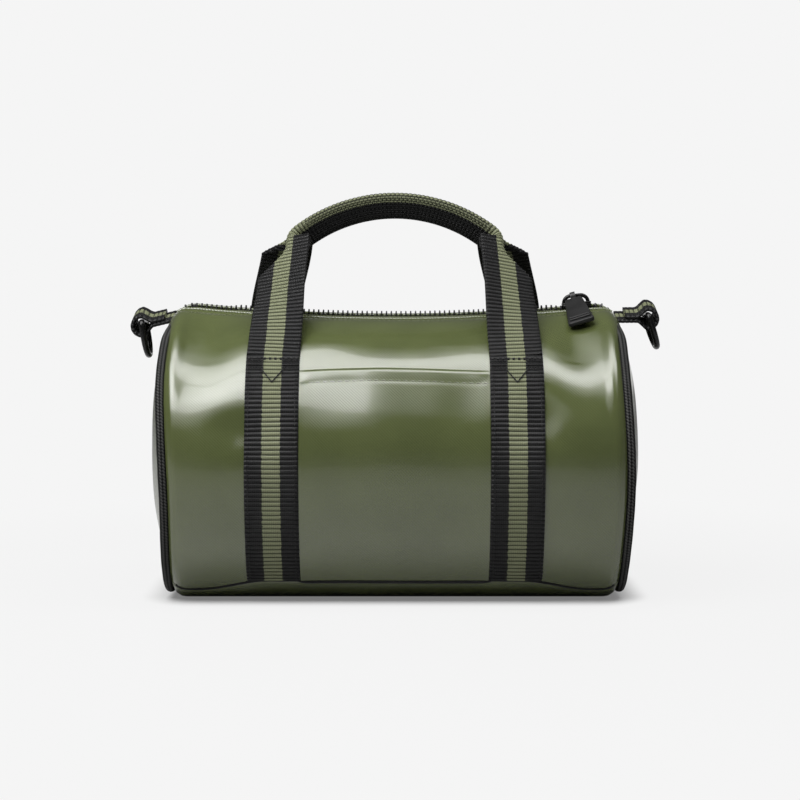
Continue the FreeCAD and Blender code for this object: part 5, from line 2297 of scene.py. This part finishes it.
@dataclass
class Studio:
    """Camera, lamps, pale floor and surroundings."""

    camera_place: Vector = field(default_factory=lambda: Vector((2.5 * MM, -992 * MM, 150 * MM)))
    pitch: float = math.radians(3.275)
    lens: float = 90.0
    sensor: float = 36.0
    background: Colour = (0.913, 0.913, 0.913)
    floor_colour: Colour = (0.50, 0.50, 0.50)
    floor_half: float = 4.0
    shadow_half: Triple = (98 * MM, 27 * MM, 1.0)
    shadow_scale: Triple = (1.45, 1.0, 1.0)
    near_run: Pair = (16 * MM, 38 * MM)
    near_glow: Pair = (0.2, 0.93)
    far_run: Pair = (0.1, 0.4)
    far_glow: Pair = (0.0, 0.07)
    wall_depth: Pair = (-0.25, 0.55)
    wall_height: Pair = (0.22, 0.06)
    wall_light: float = 0.6
    room_light: float = 0.10

    def build(self) -> None:
        """Set up everything that isn't the bag."""
        bpy.context.scene.view_settings.view_transform = "Standard"
        self.camera()
        self.lamp("overhead", (0.0, -0.125, 1.02), (0.0, -0.125, 0.1), (1.7, 0.37), 7.2)
        self.lamp("front_left", (-0.53, -0.62, 0.979), (-0.49, -0.01, 0.129), (0.95, 0.64), 9.4)
        self.floor()
        self.world()

    def camera(self) -> None:
        """Camera at the photograph's viewing angle."""
        data = bpy.data.cameras.new("camera")
        data.lens = self.lens
        data.sensor_width = self.sensor
        made = bpy.data.objects.new("camera", data)
        made.location = self.camera_place
        made.rotation_euler = (math.pi / 2 - self.pitch, 0.0, 0.0)
        bpy.context.scene.collection.objects.link(made)
        bpy.context.scene.camera = made

    def lamp(self, name: str, place: Triple, aim: Triple, size: Pair, radiance: float) -> None:
        """One soft panel.

        Args:
            name: name of the lamp.
            place: its middle.
            aim: point that it faces.
            size: width and height.
            radiance: brightness of its face.
        """
        data = bpy.data.lights.new(name, "AREA")
        data.shape = "RECTANGLE"
        data.size, data.size_y = size
        data.energy = radiance * math.pi * size[0] * size[1]
        made = bpy.data.objects.new(name, data)
        made.location = place
        made.rotation_euler = (Vector(aim) - Vector(place)).to_track_quat("-Z", "Y").to_euler()
        made.visible_camera = False
        bpy.context.scene.collection.objects.link(made)

    def floor(self) -> None:
        """Pale floor that runs out into the background."""
        mesh = bmesh.new()
        bmesh.ops.create_grid(mesh, x_segments=4, y_segments=4, size=self.floor_half)
        finish = Finish("pale_floor", self.floor_colour, 0.35)
        material, board, surface = finish.start()
        board.fill(surface, Base_Color=finish.colour, Roughness=finish.roughness, Specular_IOR_Level=0.4)
        place = board.place()
        for operation, amount in (
            ("ABSOLUTE", None), ("SUBTRACT", self.shadow_half), ("MAXIMUM", None),
            ("MULTIPLY", self.shadow_scale), ("LENGTH", None),
        ):
            distance = board.add("ShaderNodeVectorMath", operation=operation)
            board.feed(distance.inputs[0], place)
            if amount:
                board.feed(distance.inputs[1], amount)
            place = distance.outputs[0]
        near = board.ramp(distance.outputs["Value"], *self.near_run, *self.near_glow)
        far = board.ramp(distance.outputs["Value"], *self.far_run, *self.far_glow)
        rays = board.add("ShaderNodeLightPath")
        share = board.math("MULTIPLY", board.math("ADD", near, far), rays.outputs["Is Camera Ray"])
        glow = board.fill(board.add("ShaderNodeEmission"), Color=self.background)
        joint = board.add("ShaderNodeMixShader")
        for socket, source in zip(joint.inputs, (share, surface.outputs[0], glow.outputs[0])):
            board.feed(socket, source)
        board.fill(material.node_tree.nodes["Material Output"], Surface=joint.outputs[0])
        piece(mesh, "floor", material)

    def world(self) -> None:
        """White to the camera; a pale wall behind the bag and a dim room before it."""
        world = bpy.data.worlds.new("studio")
        bpy.context.scene.world = world
        world.use_nodes = True
        board = Board(world.node_tree)
        _, depth, height = board.split(board.add("ShaderNodeTexCoord").outputs["Generated"])
        behind = board.ramp(depth, *self.wall_depth, 0.0, 1.0)
        low = board.ramp(height, *self.wall_height, 0.0, 1.0)
        wall = board.math("MULTIPLY", behind, low)
        room = board.math("MULTIPLY_ADD", wall, self.wall_light, self.room_light)
        rays = board.add("ShaderNodeLightPath").outputs
        shiny = board.math("ADD", rays["Is Glossy Ray"], rays["Is Transmission Ray"], clamp=True)
        shown = board.math("MAXIMUM", rays["Is Camera Ray"], board.math("MULTIPLY", shiny, wall))
        level = board.math("MAXIMUM", room, board.math("MULTIPLY", shown, self.background[0]))
        shade = board.add("ShaderNodeCombineColor")
        for socket in shade.inputs:
            board.feed(socket, level)
        board.fill(world.node_tree.nodes["Background"], Color=shade.outputs[0])


def main() -> None:
    """Build the bag piece by piece, then the studio."""
    logging.basicConfig(level=logging.INFO, format="%(name)s %(message)s")
    finishes = Finishes()
    for assembly in (SewnShell, ZipTop, CarryHandles, StrapRings, Interior):
        LOG.info("building %s", assembly.__name__)
        assembly(finishes).build()
    Studio().build()


if __name__ == "__main__":
    main()
